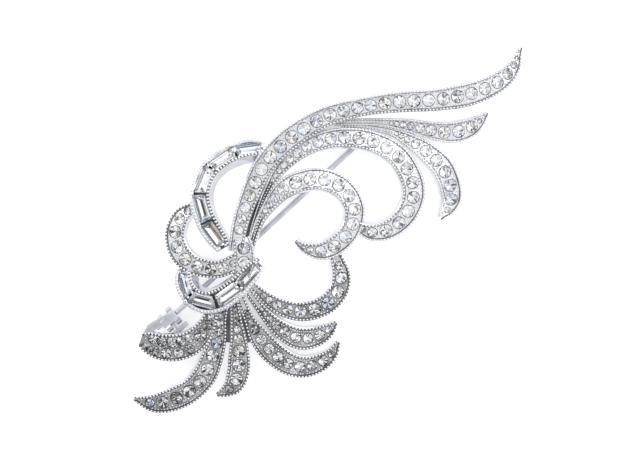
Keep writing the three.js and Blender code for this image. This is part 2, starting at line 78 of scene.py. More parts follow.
STRIP_DEPTH = 1.9
TIP_DEPTH = 1.2
DEPTH_PER_WIDTH = 0.3
RAIL_WIDTH = 0.45
RAIL_LIMIT_SHARE = 0.3
PAVE_RECESS = 0.35
PAVE_WALL_SHOWING = 1.1

RIBBON_DEPTH = 2.3
RIBBON_WIDTH = 3.6

PIN_RADIUS = 0.5
PIN_TIP_RADIUS = 0.08
PIN_POINT_RADIUS = 0.31
PIN_POINT_LENGTH = 2
PIN_TAPER_LENGTH = 6
PIN_PAST_CATCH = 1.2
PIN_HEIGHT = 1.6
KNUCKLE_RADIUS = 1.2
KNUCKLE_WIDTH = 1
RIVET_RADIUS = 0.4
RIVET_HEAD = 0.2
CHEEK_THICKNESS = 0.8
CHEEK_LENGTH = 2.8
CHEEK_TOP = 4.86
MOVING_GAP = 0.25
CATCH_LENGTH = 3
RING_LENGTH = 1.05
RING_WALL = 0.4
ROLLER_WALL = 0.35
ROLLER_BORE = 0.75
ROLLER_MOUTH_HALF_ANGLE = 56
THUMB_BAR_LENGTH = 3.7
THUMB_BAR_WIDTH = 0.9
THUMB_BAR_THICKNESS = 0.7
THUMB_NECK_WIDTH = 0.5
ARM_WIDTH = 1.5
ARM_THICKNESS = 0.8
HINGE_PLACE = np.array((6.3, 15.4))
CATCH_PLACE = np.array((-26.4, -15.1))
ARM_AT_CATCH = ((0.4, 0.5), (-1.2, -0.4))
ARM_HALF_WAY = (-0.9, 0.4)
ARM_AT_FEATHER = ((0.5, 0.9), (0.9, -0.8))
ARM_FEATHER_SHARE = 0.97

# How far the layout's origin lies from the row frame's, found from the hinge, which both place.
joints = {joint["name"]: joint for joint in frame["record"]["behaviour"]["joints"]}
hinge_at = np.array(joints["pin_swing"]["pos_m"][:2]) / MM
LAYOUT_SHIFT = np.array((*(hinge_at - HINGE_PLACE), 0.0))

# Stations run from a strip's root to its tip: x, y, height of the face and share of its width.
# lean is how far the face leans at the root, middle and tip, in degrees. tone says how the light
# finds the strip, root and deck are the looks of its plain root and of its face where they differ
# from the tone's, and start is where the first crystal sits.
# A strip's share of dark crystal facets is painted dark reflections, set higher on the strips that lie
# in shade.
PAVE_STRIPS = {
    "top_feather": {
        "width": 3.9, "lean": (-8, 2, 18), "start": 3.7, "root": DECK,
        "stations": (
            (-15.2, -3.8, 6.4, 0.62), (-14.3, 1.2, 6.8, 0.7), (-12.5, 6.3, 7, 0.82),
            (-10.3, 10.8, 7, 0.9), (-6.1, 15.1, 6.8, 0.98), (-0.2, 18.7, 6.5, 0.87),
            (5.7, 20.3, 6.2, 0.8), (12.2, 21.2, 5.8, 0.9), (18.2, 21.6, 5.1, 0.95),
            (23.9, 22.6, 4.2, 1.02), (28.4, 24.5, 3.1, 0.9), (31, 27, 2, 0.7), (32.4, 30.6, 1.1, 0.18),
        ),
    },
    "second_feather": {
        "width": 3.6, "lean": (0, 8, 20), "tone": "lit",
        "stations": (
            (1.2, 17.8, 5.6, 0.3), (5, 17.9, 5.6, 0.32), (9.2, 17.8, 5.4, 0.38), (13.5, 17.3, 5, 0.62),
            (17.3, 16.5, 4.5, 0.82), (20.8, 16.2, 3.9, 1), (23.5, 16.8, 3.3, 0.97),
            (25.5, 18.1, 2.7, 0.66), (26.8, 19.6, 2.1, 0.17),
        ),
    },
    "third_feather": {
        "width": 3.8, "lean": (0, -12, -22), "tone": "lit",
        "stations": (
            (2.5, 17.3, 5.4, 0.25), (6.5, 17, 5.3, 0.28), (10.8, 16.2, 5, 0.38),
            (14.2, 14.5, 4.6, 0.66), (16.7, 12.8, 4.2, 0.87), (19.1, 10.5, 3.7, 1),
            (20.4, 7.8, 3.1, 1), (20.8, 5.3, 2.4, 0.95), (20.1, 3.3, 1.7, 0.7), (18.8, 1.7, 1.1, 0.22),
        ),
    },
    "outer_scroll": {
        "width": 3.9, "lean": (-4, -10, -20),
        "stations": (
            (-12.7, -2, 6.2, 0.25), (-11.9, 1.2, 6.2, 0.27), (-10.2, 5.8, 6.3, 0.33),
            (-7.7, 10, 6.3, 0.52), (-4.2, 13.1, 6.2, 0.7), (-0.3, 14.8, 6, 0.78),
            (3.8, 15.2, 5.9, 0.85), (8, 14.4, 5.7, 0.9), (11.7, 12.2, 5.4, 0.97), (13.9, 8.7, 5, 1),
            (14.4, 5.5, 4.7, 1), (13, 2.2, 4.4, 0.95), (10.3, 0, 4.3, 0.87), (7.5, -0.5, 4.4, 0.74),
            (5.2, 0.4, 4.6, 0.45),
        ),
    },
    "inner_scroll": {
        "width": 3.7, "lean": (-4, -12, -20),
        "stations": (
            (-12.9, -4, 6.3, 0.35), (-12.1, -1.2, 6.4, 0.36), (-11, 1.7, 6.4, 0.42),
            (-9.3, 4.3, 6.3, 0.63), (-7.2, 6.6, 6.2, 0.86), (-4.5, 7.9, 6.1, 0.97), (-1.3, 8.3, 6, 1),
            (1.8, 7.3, 5.8, 1), (3.8, 5.3, 5.5, 0.97), (4.6, 2.8, 5.2, 0.93), (3.8, -0.2, 5, 0.93),
            (1.8, -2.4, 4.8, 0.93), (-0.8, -3.6, 4.6, 0.86), (-3.5, -3.2, 4.4, 0.54),
            (-5.2, -1.9, 4.3, 0.18),
        ),
    },
    "lower_scroll": {
        "width": 3.5, "lean": (4, 12, 16), "tone": "dark", "root": DECK, "painted_dark_facets": 0.18,
        "stations": (
            (-13.5, -8.5, 6, 0.3), (-11.8, -10, 5.8, 0.43), (-9.8, -11.7, 5.4, 0.63),
            (-7.5, -13, 5, 0.8), (-4.8, -13.7, 4.6, 0.9), (-2.2, -13.4, 4.4, 0.95),
            (0.3, -12.2, 4.3, 1), (2, -10, 4.3, 0.97), (2.3, -7.5, 4.4, 0.88), (1.4, -4.6, 4.6, 0.6),
        ),
    },
    "tail_feather_1": {
        "width": 4.6, "lean": (-4, -10, -14), "tone": "dark", "painted_dark_facets": 0.3, "staggered": True,
        "stations": (
            (-17.6, -10.7, 6.3, 0.25), (-19, -13.8, 5.6, 0.48), (-20.3, -16.5, 5.4, 0.72),
            (-22.3, -18.7, 5.1, 0.91), (-25, -19.7, 4.8, 1), (-27.8, -19.6, 4.5, 0.98),
            (-30, -18.8, 4.3, 0.8), (-31.1, -18.4, 4.2, 0.5),
        ),
    },
    "tail_feather_2": {
        "width": 4.2, "lean": (-4, -14, -22), "tone": "dark", "painted_dark_facets": 0.28,
        "stations": (
            (-16.6, -10.5, 6.5, 0.3), (-17.7, -14.8, 5.5, 0.48), (-18.2, -18.2, 5, 0.67),
            (-19.2, -21.3, 4.4, 0.88), (-20.5, -24.4, 3.7, 0.98), (-22.8, -26.9, 3, 1),
            (-26, -28.5, 2.3, 1), (-29.2, -29.1, 1.7, 0.76), (-32.3, -28.3, 1.1, 0.19),
        ),
    },
    "tail_feather_3": {
        "width": 3.7, "lean": (0, -4, -8), "tone": "dark", "painted_dark_facets": 0.28,
        "stations": (
            (-15.6, -10.4, 6.5, 0.32), (-15.2, -14.5, 5.5, 0.49), (-14.8, -18.2, 5, 0.73),
            (-14.7, -21.3, 4.4, 0.97), (-14.8, -23.8, 3.8, 1.02), (-15.6, -26, 3.2, 0.92),
            (-17.1, -27.2, 2.6, 0.55), (-18.5, -27.7, 2.2, 0.19),
        ),
    },
    "tail_feather_4": {
        "width": 4, "lean": (4, 14, 20), "tone": "dark", "root": DECK, "painted_dark_facets": 0.26,
        "largest": 0.85,
        "stations": (
            (-15.1, -9.8, 6.6, 0.32), (-13, -14.8, 5.4, 0.45), (-11.4, -17.7, 4.9, 0.84),
            (-9.3, -20.3, 4.2, 1), (-6.5, -22.4, 3.5, 1), (-3.7, -23, 2.8, 0.93),
            (-1, -22.2, 2.2, 0.8), (0.8, -20.8, 1.6, 0.55), (1.8, -18.8, 1.1, 0.2),
        ),
    },
    "tail_feather_5": {
        "width": 3.8, "lean": (4, 14, 20), "tone": "dark", "root": DECK, "painted_dark_facets": 0.24,
        "largest": 0.85,
        "stations": (
            (-14.3, -8.7, 6.6, 0.32), (-11.7, -12.3, 5.5, 0.37), (-9.5, -15, 5.1, 0.58),
            (-7.2, -17, 4.6, 0.82), (-4.5, -18.2, 4, 1), (-1.8, -17.9, 3.4, 0.92),
            (0.2, -16.8, 2.9, 0.66), (1.5, -15.5, 2.5, 0.21),
        ),
    },
    "loop": {
        "width": 3.6, "lean": (20, 16, 8), "tone": "dark", "deck": DECK, "painted_dark_facets": 0.14,
        "stations": (
            (-21.8, 3.8, 5.8, 0.42), (-24, 2.3, 5.4, 0.78), (-25.1, 0.2, 5.1, 0.92),
            (-25.2, -2, 5.1, 0.97), (-24.3, -4.2, 5.3, 1), (-22.5, -5.8, 5.6, 0.92),
            (-20.2, -6.5, 5.9, 0.86), (-17.8, -6.6, 6.2, 0.81), (-14.9, -5.4, 6.5, 0.83),
        ),
    },
    "knot": {
        "width": 3.5, "lean": (0, 0, 0), "start": 1.7, "root": DECK,
        "stations": (
            (-14.3, -1.5, 6.5, 0.86), (-13.8, -3.5, 6.9, 0.97), (-13.8, -5.5, 7, 1),
            (-14.3, -7.7, 6.9, 0.9), (-15.3, -10.8, 6.2, 1.15),
        ),
    },
}

# first is where the first baguette begins, and prongs how many hold the crystals at each join.
RIBBONS = {
    "upper": {
        "baguettes": 5, "first": 0.4, "prongs": (1, 1, 2, 0, 0, 2), "lean": (38, 22, 8),
        "stations": (
            (-10.2, 13.6, 5.6, 0.7), (-12.5, 13.7, 5.8, 1), (-14.8, 13.2, 6.2, 1),
            (-17.5, 11.9, 6.7, 1), (-19.8, 9.8, 7.1, 1), (-21, 7.3, 7.4, 1), (-21.2, 4.8, 7.5, 1),
            (-20.6, 2.4, 7.4, 1), (-19.5, 0.1, 7.2, 1), (-18.1, -1.9, 7, 0.9),
            (-17.2, -3.3, 6.9, 0.65),
        ),
    },
    "lower": {
        "baguettes": 4, "first": 0.8, "prongs": (2, 2, 0, 2, 2), "lean": (46, 14, 6),
        "stations": (
            (-24, -6.2, 3.8, 0.7), (-24.2, -7.8, 4.6, 1), (-23.7, -9.8, 5.6, 1),
            (-22.2, -11.6, 6.3, 1.05), (-20, -12.3, 6.8, 1.1), (-17.7, -11.7, 7.3, 1.1),
            (-15.5, -10.2, 7.8, 1.05), (-13.7, -8.5, 8, 0.95), (-12, -6.7, 7.6, 0.85),
            (-10.8, -5.5, 6.9, 0.6),
        ),
    },
}

# ---- sizes of the fine surface

# Rails and walls. The walls draw in less than the model's, so the rails stay the outline.
BASE_SHARE = 0.96
RAIL_DROP = 0.1
RAIL_ROUND = 0.07
WALL_TOP = 0.38
CELL_STEPS = 8
CELL_CROSS = 6
PLAIN_STEP = 0.3

# Round crystals along a strip, and the cups they sit in.
CRYSTAL_LARGEST = 1.02
CRYSTAL_SMALLEST = 0.3
CRYSTAL_MARGIN = 0.2
CRYSTAL_FILL = 0.84
CRYSTAL_GAP = 0.1
CRYSTAL_GAP_SHARE = 0.32
CRYSTAL_TIP = 0.04
GIRDLE_LIFT = 0.05
ROOT_LEFT_PLAIN = 0.6
TIP_LEFT_PLAIN = 0.35
CUP_GAP = 0.09
CUP_LIP = 0.15
CUP_DEPTH = 1.0
CUP_FLOOR_SHARE = 0.3
STAGGERED_SHARE = 0.44
STAGGERED_SMALLEST = 0.58
STAGGERED_INSET = 1.12
PIERCED_STEP = 0.14
PIERCED_CROSS = 26
COLLAR = 0.16
COLLAR_LIFT = 0.02
COLLAR_SIDES = 24

# The cut of a round crystal of radius 1.
TABLE_RADIUS = 0.56
CROWN_HEIGHT = 0.3
STAR_RADIUS = 0.78
STAR_SHARE = 0.62
GIRDLE_TOP = 0.02
GIRDLE_BOTTOM = -0.03
MAIN_RADIUS = 0.55
MAIN_DEPTH = 0.42
PAVILION_DEPTH = 0.86
# The share of crystal facets painted dark, as painted dark reflections, where a strip sets none.
USUAL_PAINTED_DARK_FACETS = 0.06

# Milgrain beads on the rails (ends is how far they stay from a strip's root and tip), beads on
# narrow roots, and grains between the crystals.
BEAD_PITCH = 0.58
BEAD_FILL = 0.41
BEAD_ACROSS = 0.42
BEAD_HEIGHT = 0.2
BEAD_SKIRT = 0.3
BEAD_SIDES = 10
BEAD_ENDS = (0.3, 0.25)
RIBBON_BEAD_ENDS = (0.2, 0.2)
ROOT_BEAD_PITCH = 0.5
ROOT_BEAD_FILL = 0.75
GRAIN_RADIUS = 0.19
GRAIN_PITCH = 0.46
GRAIN_SCATTER = 0.08
GRAIN_CLEAR = 0.2
GRAIN_HEIGHT = 0.26
GRAIN_SKIRT = 0.2
GRAIN_SIDES = 8

# Ribbons: rails and baguettes look a little wider than the model's.
RIBBON_FLOOR = 1.2
RIBBON_RAIL_SHOWN = 0.68
BAGUETTE_SHOWN_WIDTH = 2.26
BAGUETTE_SHOWN_SPACING = 0.34
BAGUETTE_SHIFT = 0.12
PRONG_DROP = 0.3
PRONG_SKIRT = 2.5
PRONG_SIDES = 16
# The radius of the prongs at a join and their places across it, by how many it has.
PRONGS = {0: (0, ()), 1: (0.58, (0.3,)), 2: (0.32, (-0.62, 0.62))}

# Findings: the arm lies a little below the catch's plate, so that no two faces coincide, and the
# pin and the neck of the thumb bar run a little way into what they are joined to.
SOFT_EDGE = 0.08
ARM_SINK = 0.04
JOINED_DEPTH = 0.2
PIN_TIP_ROUND = 0.03

# ---- light and camera

FLOOR_RADIUS = 3
FLOOR_GREY = (0.7, 0.7, 0.705, 1)
FLOOR_GLOW = 0.52
SKY_STRENGTH = 1.3
BRIGHT_SIDE = (0.5, 0.866, 0)
SIDE_LEVELS = (0.5, 1.25)
# How bright the studio is by the height of the direction: 0 is level or below, 1 straight up.
SKY = ((0.0, 0.6), (0.3, 0.8), (0.55, 1.0), (0.85, 1.05), (0.95, 0.95), (1.0, 0.75))
EXPOSURE = 0.0
VIEW_CENTRE = (-2.05, -0.49)
VIEW_WIDTH = 105.33
VIEW_LEVEL = 5
CAMERA_LENS = 250
CAMERA_SENSOR = 36

# ---- mesh helpers


def unit(vectors):
    return vectors / np.linalg.norm(vectors, axis=-1, keepdims=True)


class Shape:
    """Corners in millimetres and faces, gathered for one piece. look is a material's number."""

    def __init__(self):
        self.corners, self.faces, self.looks, self.tints = [], [], [], []
        self.count = 0

    def add(self, corners, faces, look=0, tints=None):
        corners = np.asarray(corners, float).reshape(-1, 3)
        self.corners.append(corners)
        self.faces += [tuple(int(corner) + self.count for corner in face) for face in faces]
        self.looks += [look] * len(faces) if np.isscalar(look) else list(look)
        self.tints += [(1.0, 1.0, 1.0)] * len(faces) if tints is None else list(tints)
        self.count += len(corners)

    def add_copies(self, corners, faces, origins, axes, scales):
        """The same small form at many places: axes are each copy's x, y and z, scales their sizes."""
        places = np.einsum("na,ma,mab->mnb", corners, scales, axes) + origins[:, None]
        steps = np.arange(len(origins)) * len(corners)
        many = [tuple(int(corner + step) for corner in face) for step in steps for face in faces]
        self.add(places, many)

    def piece(self, name, body, materials, stands_for=(), smooth_angle=35, weld=True):
        mesh = bpy.data.meshes.new(name)
        corners = (np.concatenate(self.corners) + LAYOUT_SHIFT) * MM
        corners = np.clip(corners, cad_low, cad_high)
        mesh.from_pydata(corners.tolist(), [], self.faces)
        for material in materials:
            mesh.materials.append(material)
        mesh.polygons.foreach_set("material_index", self.looks)
        tint = mesh.attributes.new("tint", "FLOAT_COLOR", "FACE")
        tint.data.foreach_set("color", np.c_[self.tints, np.ones(len(self.tints))].ravel())
        if weld:
            form = bmesh.new()
            form.from_mesh(mesh)
            bmesh.ops.remove_doubles(form, verts=form.verts, dist=1e-3 * MM)
            form.to_mesh(mesh)
            form.free()
        mesh.update()
        if smooth_angle:
            mesh.polygons.foreach_set("use_smooth", [True] * len(mesh.polygons))
            mesh.set_sharp_from_angle(angle=math.radians(smooth_angle))
        made = bpy.data.objects.new(name, mesh)
        bpy.context.scene.collection.objects.link(made)
        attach(made, body)
        if stands_for:
            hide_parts(*stands_for)
        return made


def loft_faces(rings, count, closed):
    """Faces between rings of count corners, turned outwards for clockwise rings seen from behind."""
    last = count if closed else count - 1
    return [
        (ring * count + k, ring * count + (k + 1) % count,
         (ring + 1) * count + (k + 1) % count, (ring + 1) * count + k)
        for ring in range(rings - 1) for k in range(last)
    ]


def loft(rings, capped):
    """Corners and faces of a closed skin over rings, with flat ends if capped."""
    count = len(rings[0])
    faces = loft_faces(len(rings), count, closed=True)
    if capped:
        last = (len(rings) - 1) * count
        faces += [tuple(reversed(range(count))), tuple(range(last, last + count))]
    return np.concatenate(rings), faces


def dome(sides, rings, skirt):
    """A bead: a half ball of radius 1 on a short skirt, closed below."""
    corners = [(0, 0, 1)]
    levels = [(math.sin(a), math.cos(a)) for a in np.linspace(0, math.pi / 2, rings + 1)[1:]]
    for radius, height in [*levels, (0.9, -skirt)]:
        turns = np.linspace(0, math.tau, sides, endpoint=False)
        corners += [(radius * math.cos(a), radius * math.sin(a), height) for a in turns]
    faces = [(0, 1 + k, 1 + (k + 1) % sides) for k in range(sides)]
    for level in range(rings):
        here, below = 1 + level * sides, 1 + (level + 1) * sides
        faces += [(here + k, below + k, below + (k + 1) % sides, here + (k + 1) % sides)
                  for k in range(sides)]
    faces.append(tuple(reversed(range(1 + rings * sides, 1 + (rings + 1) * sides))))
    return np.array(corners, float), faces


# ---- strips


class Strip:
    """The curve of a strip through its stations, and what changes along it."""

    SAMPLES_PER_SPAN = 40

    def __init__(self, stations, lean, width, wall_showing):
        self.stations = np.array(stations, float)
        self.lean, self.width, self.wall_showing = lean, width, wall_showing
        spans = len(stations) - 1
        self.params = np.linspace(0, spans, spans * self.SAMPLES_PER_SPAN + 1)
        points = self.curve(self.params)[:, :3]
        steps = np.linalg.norm(np.diff(points, axis=0), axis=1)
        self.travel = np.concatenate([[0], np.cumsum(steps)])
        self.length = self.travel[-1]

    def curve(self, params, slope=False):
        """A uniform Catmull-Rom curve, or its slope, with both ends run straight on."""
        known = self.stations
        padded = np.vstack([2 * known[0] - known[1], known, 2 * known[-1] - known[-2]])
        first = np.minimum(params.astype(int), len(known) - 2)
        t = (params - first)[:, None]
        before, start, end, after = (padded[first + k] for k in range(4))
        a, b = (end - before) / 2, (after - start) / 2
        square, cube = 3 * (end - start) - 2 * a - b, 2 * (start - end) + a + b
        if slope:
            return a + 2 * t * square + 3 * t**2 * cube
        return start + t * a + t**2 * square + t**3 * cube

    def frames(self, travel):
        """Centre, side, tangent and out at each distance, and the width there."""
        params = np.interp(np.atleast_1d(travel), self.travel, self.params)
        point = self.curve(params)
        tangent = unit(self.curve(params, slope=True)[:, :3])
        level = unit(np.cross(tangent, UP))
        face = np.cross(level, tangent)
        lean = np.interp(params / self.params[-1], (0, 0.5, 1), self.lean)
        roll = np.radians(lean)[:, None]
        centre = point[:, :3] + level * np.sin(roll) * self.wall_showing / 2
        side = level * np.cos(roll) - face * np.sin(roll)
        out = face * np.cos(roll) + level * np.sin(roll)
        return centre, side, tangent, out, self.width * point[:, 3]

    def at(self, travel, across, height):
        centre, side, _, out, _ = self.frames(travel)
        across, height = (np.broadcast_to(v, len(centre))[:, None] for v in (across, height))
        return centre + side * across + out * height

    def width_at(self, travel):
        return self.frames(travel)[4]


def rail_width(width, full):
    return np.minimum(full, width * RAIL_LIMIT_SHARE)


def half_deck(width, rail_full=RAIL_WIDTH):
    """Half the width of the deck between the rails."""
    return width / 2 - rail_width(width, rail_full)


def shell_section(width, depth, rail, deck):
    """Half a strip's section, from the deck's edge over the rail and down to the base."""
    half = width / 2
    inner = half - rail
    return [
        (inner, -deck),
        (inner, -RAIL_DROP - RAIL_ROUND),
        (inner + RAIL_ROUND, -RAIL_DROP),
        (half - RAIL_ROUND, -RAIL_DROP),
        (half, -RAIL_DROP - RAIL_ROUND),
        (half, -WALL_TOP),
        (half * BASE_SHARE, -depth + RAIL_ROUND),
        (half * BASE_SHARE - RAIL_ROUND, -depth),
    ]


def side_looks(inner, top):
    """The looks of the faces of half a section, from the deck's edge down to the base."""
    return inner, inner, top, BRIGHT, BRIGHT, BRIGHT, BRIGHT


def add_shell(shape, strip, travels, depth_of, rail_full, deck, right_looks, left_looks):
    """Rails, walls and base, open over the deck, with both ends capped."""
    rings = []
    for travel, width in zip(travels, strip.width_at(travels)):
        half = shell_section(width, depth_of(width), rail_width(width, rail_full), deck)
        section = np.array([*half, *((-x, y) for x, y in reversed(half))])
        rings.append(strip.at(np.full(len(section), travel), section[:, 0], section[:, 1]))
    looks = [*right_looks, BRIGHT, *reversed(left_looks)] * (len(rings) - 1)
    shape.add(np.concatenate(rings), loft_faces(len(rings), len(rings[0]), closed=False), looks)
    shares = np.linspace(0, 1, CELL_CROSS + 1)[1:-1, None]
    for ring, order in ((rings[0], -1), (rings[-1], 1)):
        outline = np.concatenate([ring, ring[-1] + (ring[0] - ring[-1]) * shares])
        shape.add(outline, [tuple(range(len(outline)))[::order]])


def add_plain_deck(shape, strip, travels, rail_full, deck, look):
    """A flat deck between the rails."""
    rows = []
    for travel, width in zip(travels, strip.width_at(travels)):
        inner = half_deck(width, rail_full)
        across = np.linspace(-inner, inner, CELL_CROSS + 1)
        rows.append(strip.at(np.full(len(across), travel), across, -deck))
    shape.add(np.concatenate(rows), loft_faces(len(rows), CELL_CROSS + 1, closed=False), look)


# ---- pave


def pave_depth(width):
    return min(STRIP_DEPTH, TIP_DEPTH + width * DEPTH_PER_WIDTH)


def crystal_radius(strip, travel, largest):
    """The largest crystal that fits between the rails there."""
    inner = half_deck(strip.width_at(travel)[0])
    return min(max(inner - CRYSTAL_MARGIN, inner * CRYSTAL_FILL), largest)


def crystal_gap(radius):
    return CRYSTAL_GAP + radius * CRYSTAL_GAP_SHARE


def crystal_row(strip, start, stop, largest):
    """Distance along, distance across and radius of each crystal of a single, even row."""
    row = []
    travel = start
    while not row and travel < strip.length - stop:
        radius = crystal_radius(strip, travel, largest)
        if radius < CRYSTAL_SMALLEST:
            travel += PLAIN_STEP
        else:
            row.append((travel, 0, radius))
    while True:
        before = row[-1][0] + row[-1][2] + crystal_gap(row[-1][2])
        radius = crystal_radius(strip, before + row[-1][2], largest)
        radius = min(radius, (strip.length - stop - before) / 2)
        if radius < CRYSTAL_SMALLEST:
            return row
        row.append((before + radius, 0, radius))


def staggered_rows(strip, start, stop):
    """The same for a wide strip: a single row from its root, then two rows in a zigzag."""
    seats = []
    travel, sign = start, 1
    while travel < strip.length - stop:
        inner = half_deck(strip.width_at(travel)[0])
        radius = inner * STAGGERED_SHARE
        if radius < STAGGERED_SMALLEST:
            radius = inner * CRYSTAL_FILL
            if radius >= CRYSTAL_SMALLEST:
                seats.append((travel + radius, 0, radius))
            travel += max(radius, CRYSTAL_SMALLEST) * 2 + CRYSTAL_GAP
        else:
            seats.append((travel + radius, sign * (inner - radius * STAGGERED_INSET), radius))
            travel += radius + CRYSTAL_GAP
            sign = -sign
    return [seat for seat in seats if seat[0] + seat[2] < strip.length - stop]


def cell_edge(strip, start, end):
    """The deck's outline around one crystal, anticlockwise as seen from above."""
    def row(travels, shares):
        return strip.at(travels, half_deck(strip.width_at(travels)) * shares, -PAVE_RECESS)
    across = np.linspace(-1, 1, CELL_CROSS + 1)
    along = np.linspace(start, end, CELL_STEPS + 1)
    return np.concatenate([
        row(np.full(CELL_CROSS, start), across[:-1]),
        row(along[:-1], np.ones(CELL_STEPS)),
        row(np.full(CELL_CROSS, end), across[:0:-1]),
        row(along[:0:-1], -np.ones(CELL_STEPS)),
    ])


def add_cell(shape, strip, start, end, place, radius, look):
    """Deck with a raised rim and a cone-shaped cup for the crystal at place."""
    edge = cell_edge(strip, start, end)
    centre, side, tangent, out, _ = (v[0] for v in strip.frames(place))
    middle = centre - out * PAVE_RECESS
    turns = np.arctan2((edge - middle) @ tangent, (edge - middle) @ side)[:, None]
    circle = side * np.cos(turns) + tangent * np.sin(turns)
    add_cup(shape, [edge], middle, circle, out, radius, look)


def add_cup(shape, rings, middle, circle, out, radius, look):
    """Deck from the given rings to a hole, and the cone-shaped cup below it."""
    rings = rings + [
        middle + circle * wide - out * deep
        for wide, deep in ((radius + CUP_GAP, 0), (radius + CUP_GAP, CUP_LIP),
                           (radius * CUP_FLOOR_SHARE, CUP_DEPTH))
    ]
    count = len(circle)
    # The cup's lip and cone are painted dark, as painted shade in the hole.
    looks = [look] * count + [PAINTED_DEEP_SHADE] * (count * 2 + 1)
    bottom = tuple(range((len(rings) - 1) * count, len(rings) * count))
    faces = [*loft_faces(len(rings), count, closed=True), bottom]
    shape.add(np.concatenate(rings), faces, looks)


def add_pierced_deck(shape, strip, seats, look):
    """A deck with a hole under every crystal, and a collar and a cup in each hole."""
    travels = np.linspace(0, strip.length, round(strip.length / PIERCED_STEP))
    shares = np.linspace(-1, 1, PIERCED_CROSS + 1)
    rows = []
    for travel, width in zip(travels, strip.width_at(travels)):
        across = half_deck(width) * shares
        rows.append(strip.at(np.full(len(shares), travel), across, -PAVE_RECESS))
    grid = np.concatenate(rows)
    holes = []
    for place, across, radius in seats:
        _, side, tangent, out, _ = (v[0] for v in strip.frames(place))
        middle = strip.at(place, across, -PAVE_RECESS + COLLAR_LIFT)[0]
        holes.append((middle, radius + CUP_GAP + COLLAR / 2))
        turns = np.linspace(0, math.tau, COLLAR_SIDES, endpoint=False)[:, None]
        circle = side * np.cos(turns) + tangent * np.sin(turns)
        rim = middle + circle * (radius + CUP_GAP + COLLAR) - out * COLLAR_LIFT
        add_cup(shape, [rim], middle, circle, out, radius, look)
    faces = [face for face in loft_faces(len(rows), len(shares), closed=False)
             if all(np.linalg.norm(grid[list(face)].mean(axis=0) - middle) > reach
                    for middle, reach in holes)]
    shape.add(grid, faces, look)


def brilliant():
    """A round crystal of radius 1 with its girdle at z = 0, as corners, faces and foil flags."""
    def ring(radius, height, count, turn=0.0):
        angles = (np.arange(count) + turn) * math.tau / count
        return [(radius * math.cos(a), radius * math.sin(a), height) for a in angles]
    corners = ring(TABLE_RADIUS, CROWN_HEIGHT, 8)
    corners += ring(STAR_RADIUS, CROWN_HEIGHT * STAR_SHARE, 8, 0.5)
    corners += ring(1, GIRDLE_TOP, 16) + ring(1, GIRDLE_BOTTOM, 16)
    corners += ring(MAIN_RADIUS, -MAIN_DEPTH, 8, 0.5) + [(0, 0, -PAVILION_DEPTH)]
    table, star, top, low, main, tip = 0, 8, 16, 32, 48, 56
    faces = [tuple(range(8))]
    foil = [False]
    for k in range(8):
        n = (k + 1) % 8
        girdle = [top + (2 * k + j) % 16 for j in range(3)]
        crown = [
            (table + k, star + k, table + n),
            (table + k, girdle[0], star + k),
            (star + k, girdle[2], table + n),
            (star + k, girdle[0], girdle[1]),
            (star + k, girdle[1], girdle[2]),
        ]
        edge = [(girdle[j], low + (2 * k + j) % 16, low + (2 * k + j + 1) % 16, girdle[j + 1])
                for j in range(2)]
        below = [low + (2 * k + j) % 16 for j in range(3)]
        pavilion = [
            (below[0], main + k, below[1]),
            (below[1], main + k, below[2]),
            (below[0], tip, main + k),
            (below[2], main + k, tip),
        ]
        faces += crown + edge + pavilion
        foil += [False] * 7 + [True] * 4
    return np.array(corners, float), faces, foil


# The tints of foil facets and how often each comes; all but white are painted glints and reflections.
# dark is the share of facets painted dark, as painted dark reflections.
FOIL_TINTS_WITH_PAINTED_GLINTS = (
    ((1.0, 1.0, 1.0), 0.72),
    ((0.72, 0.73, 0.76), 0.18),
    ((0.62, 0.73, 0.95), 0.05),
    ((0.46, 0.34, 0.27), 0.03),
    ((0.86, 0.86, 0.66), 0.02),
)
# The colour of a facet painted dark, as a painted dark reflection.
PAINTED_DARK_REFLECTION = (0.07, 0.07, 0.075)


def random_painted_glint_tints(dice, count, dark):
    colours, weights = zip(*FOIL_TINTS_WITH_PAINTED_GLINTS)
    picks = dice.choice(len(colours), size=count, p=weights)
    return [PAINTED_DARK_REFLECTION if chance < dark else colours[pick]
            for pick, chance in zip(picks, dice.random(count))]


def add_crystals(shape, strip, row, dice, dark):
    """One round crystal in each cup, each turned and tipped a little by chance."""
    corners, faces, foil = brilliant()
    for place, across, radius in row:
        centre, side, tangent, out, _ = (v[0] for v in strip.frames(place))
        turn = dice.uniform(0, math.tau)
        tip = dice.normal(0, CRYSTAL_TIP, 2)
        up = unit(out + side * tip[0] + tangent * tip[1])
        level = unit(np.cross(tangent * math.cos(turn) + side * math.sin(turn), up))
        axes = np.array([level, np.cross(up, level), up])
        middle = centre + side * across - out * (PAVE_RECESS - GIRDLE_LIFT)
        looks = [FOIL if flag else GLASS for flag in foil]
        shape.add(middle + corners * radius @ axes, faces, looks, random_painted_glint_tints(dice, len(faces), dark))


def add_beads(shape, bead, strip, travels, across, drop, scales):
    """Copies of a bead at places along and across a strip, drop below its face."""
    centre, side, tangent, out, _ = strip.frames(travels)
    origins = centre + side * np.reshape(across, (-1, 1)) - out * drop
    shape.add_copies(*bead, origins, np.stack([side, tangent, out], axis=1), scales)


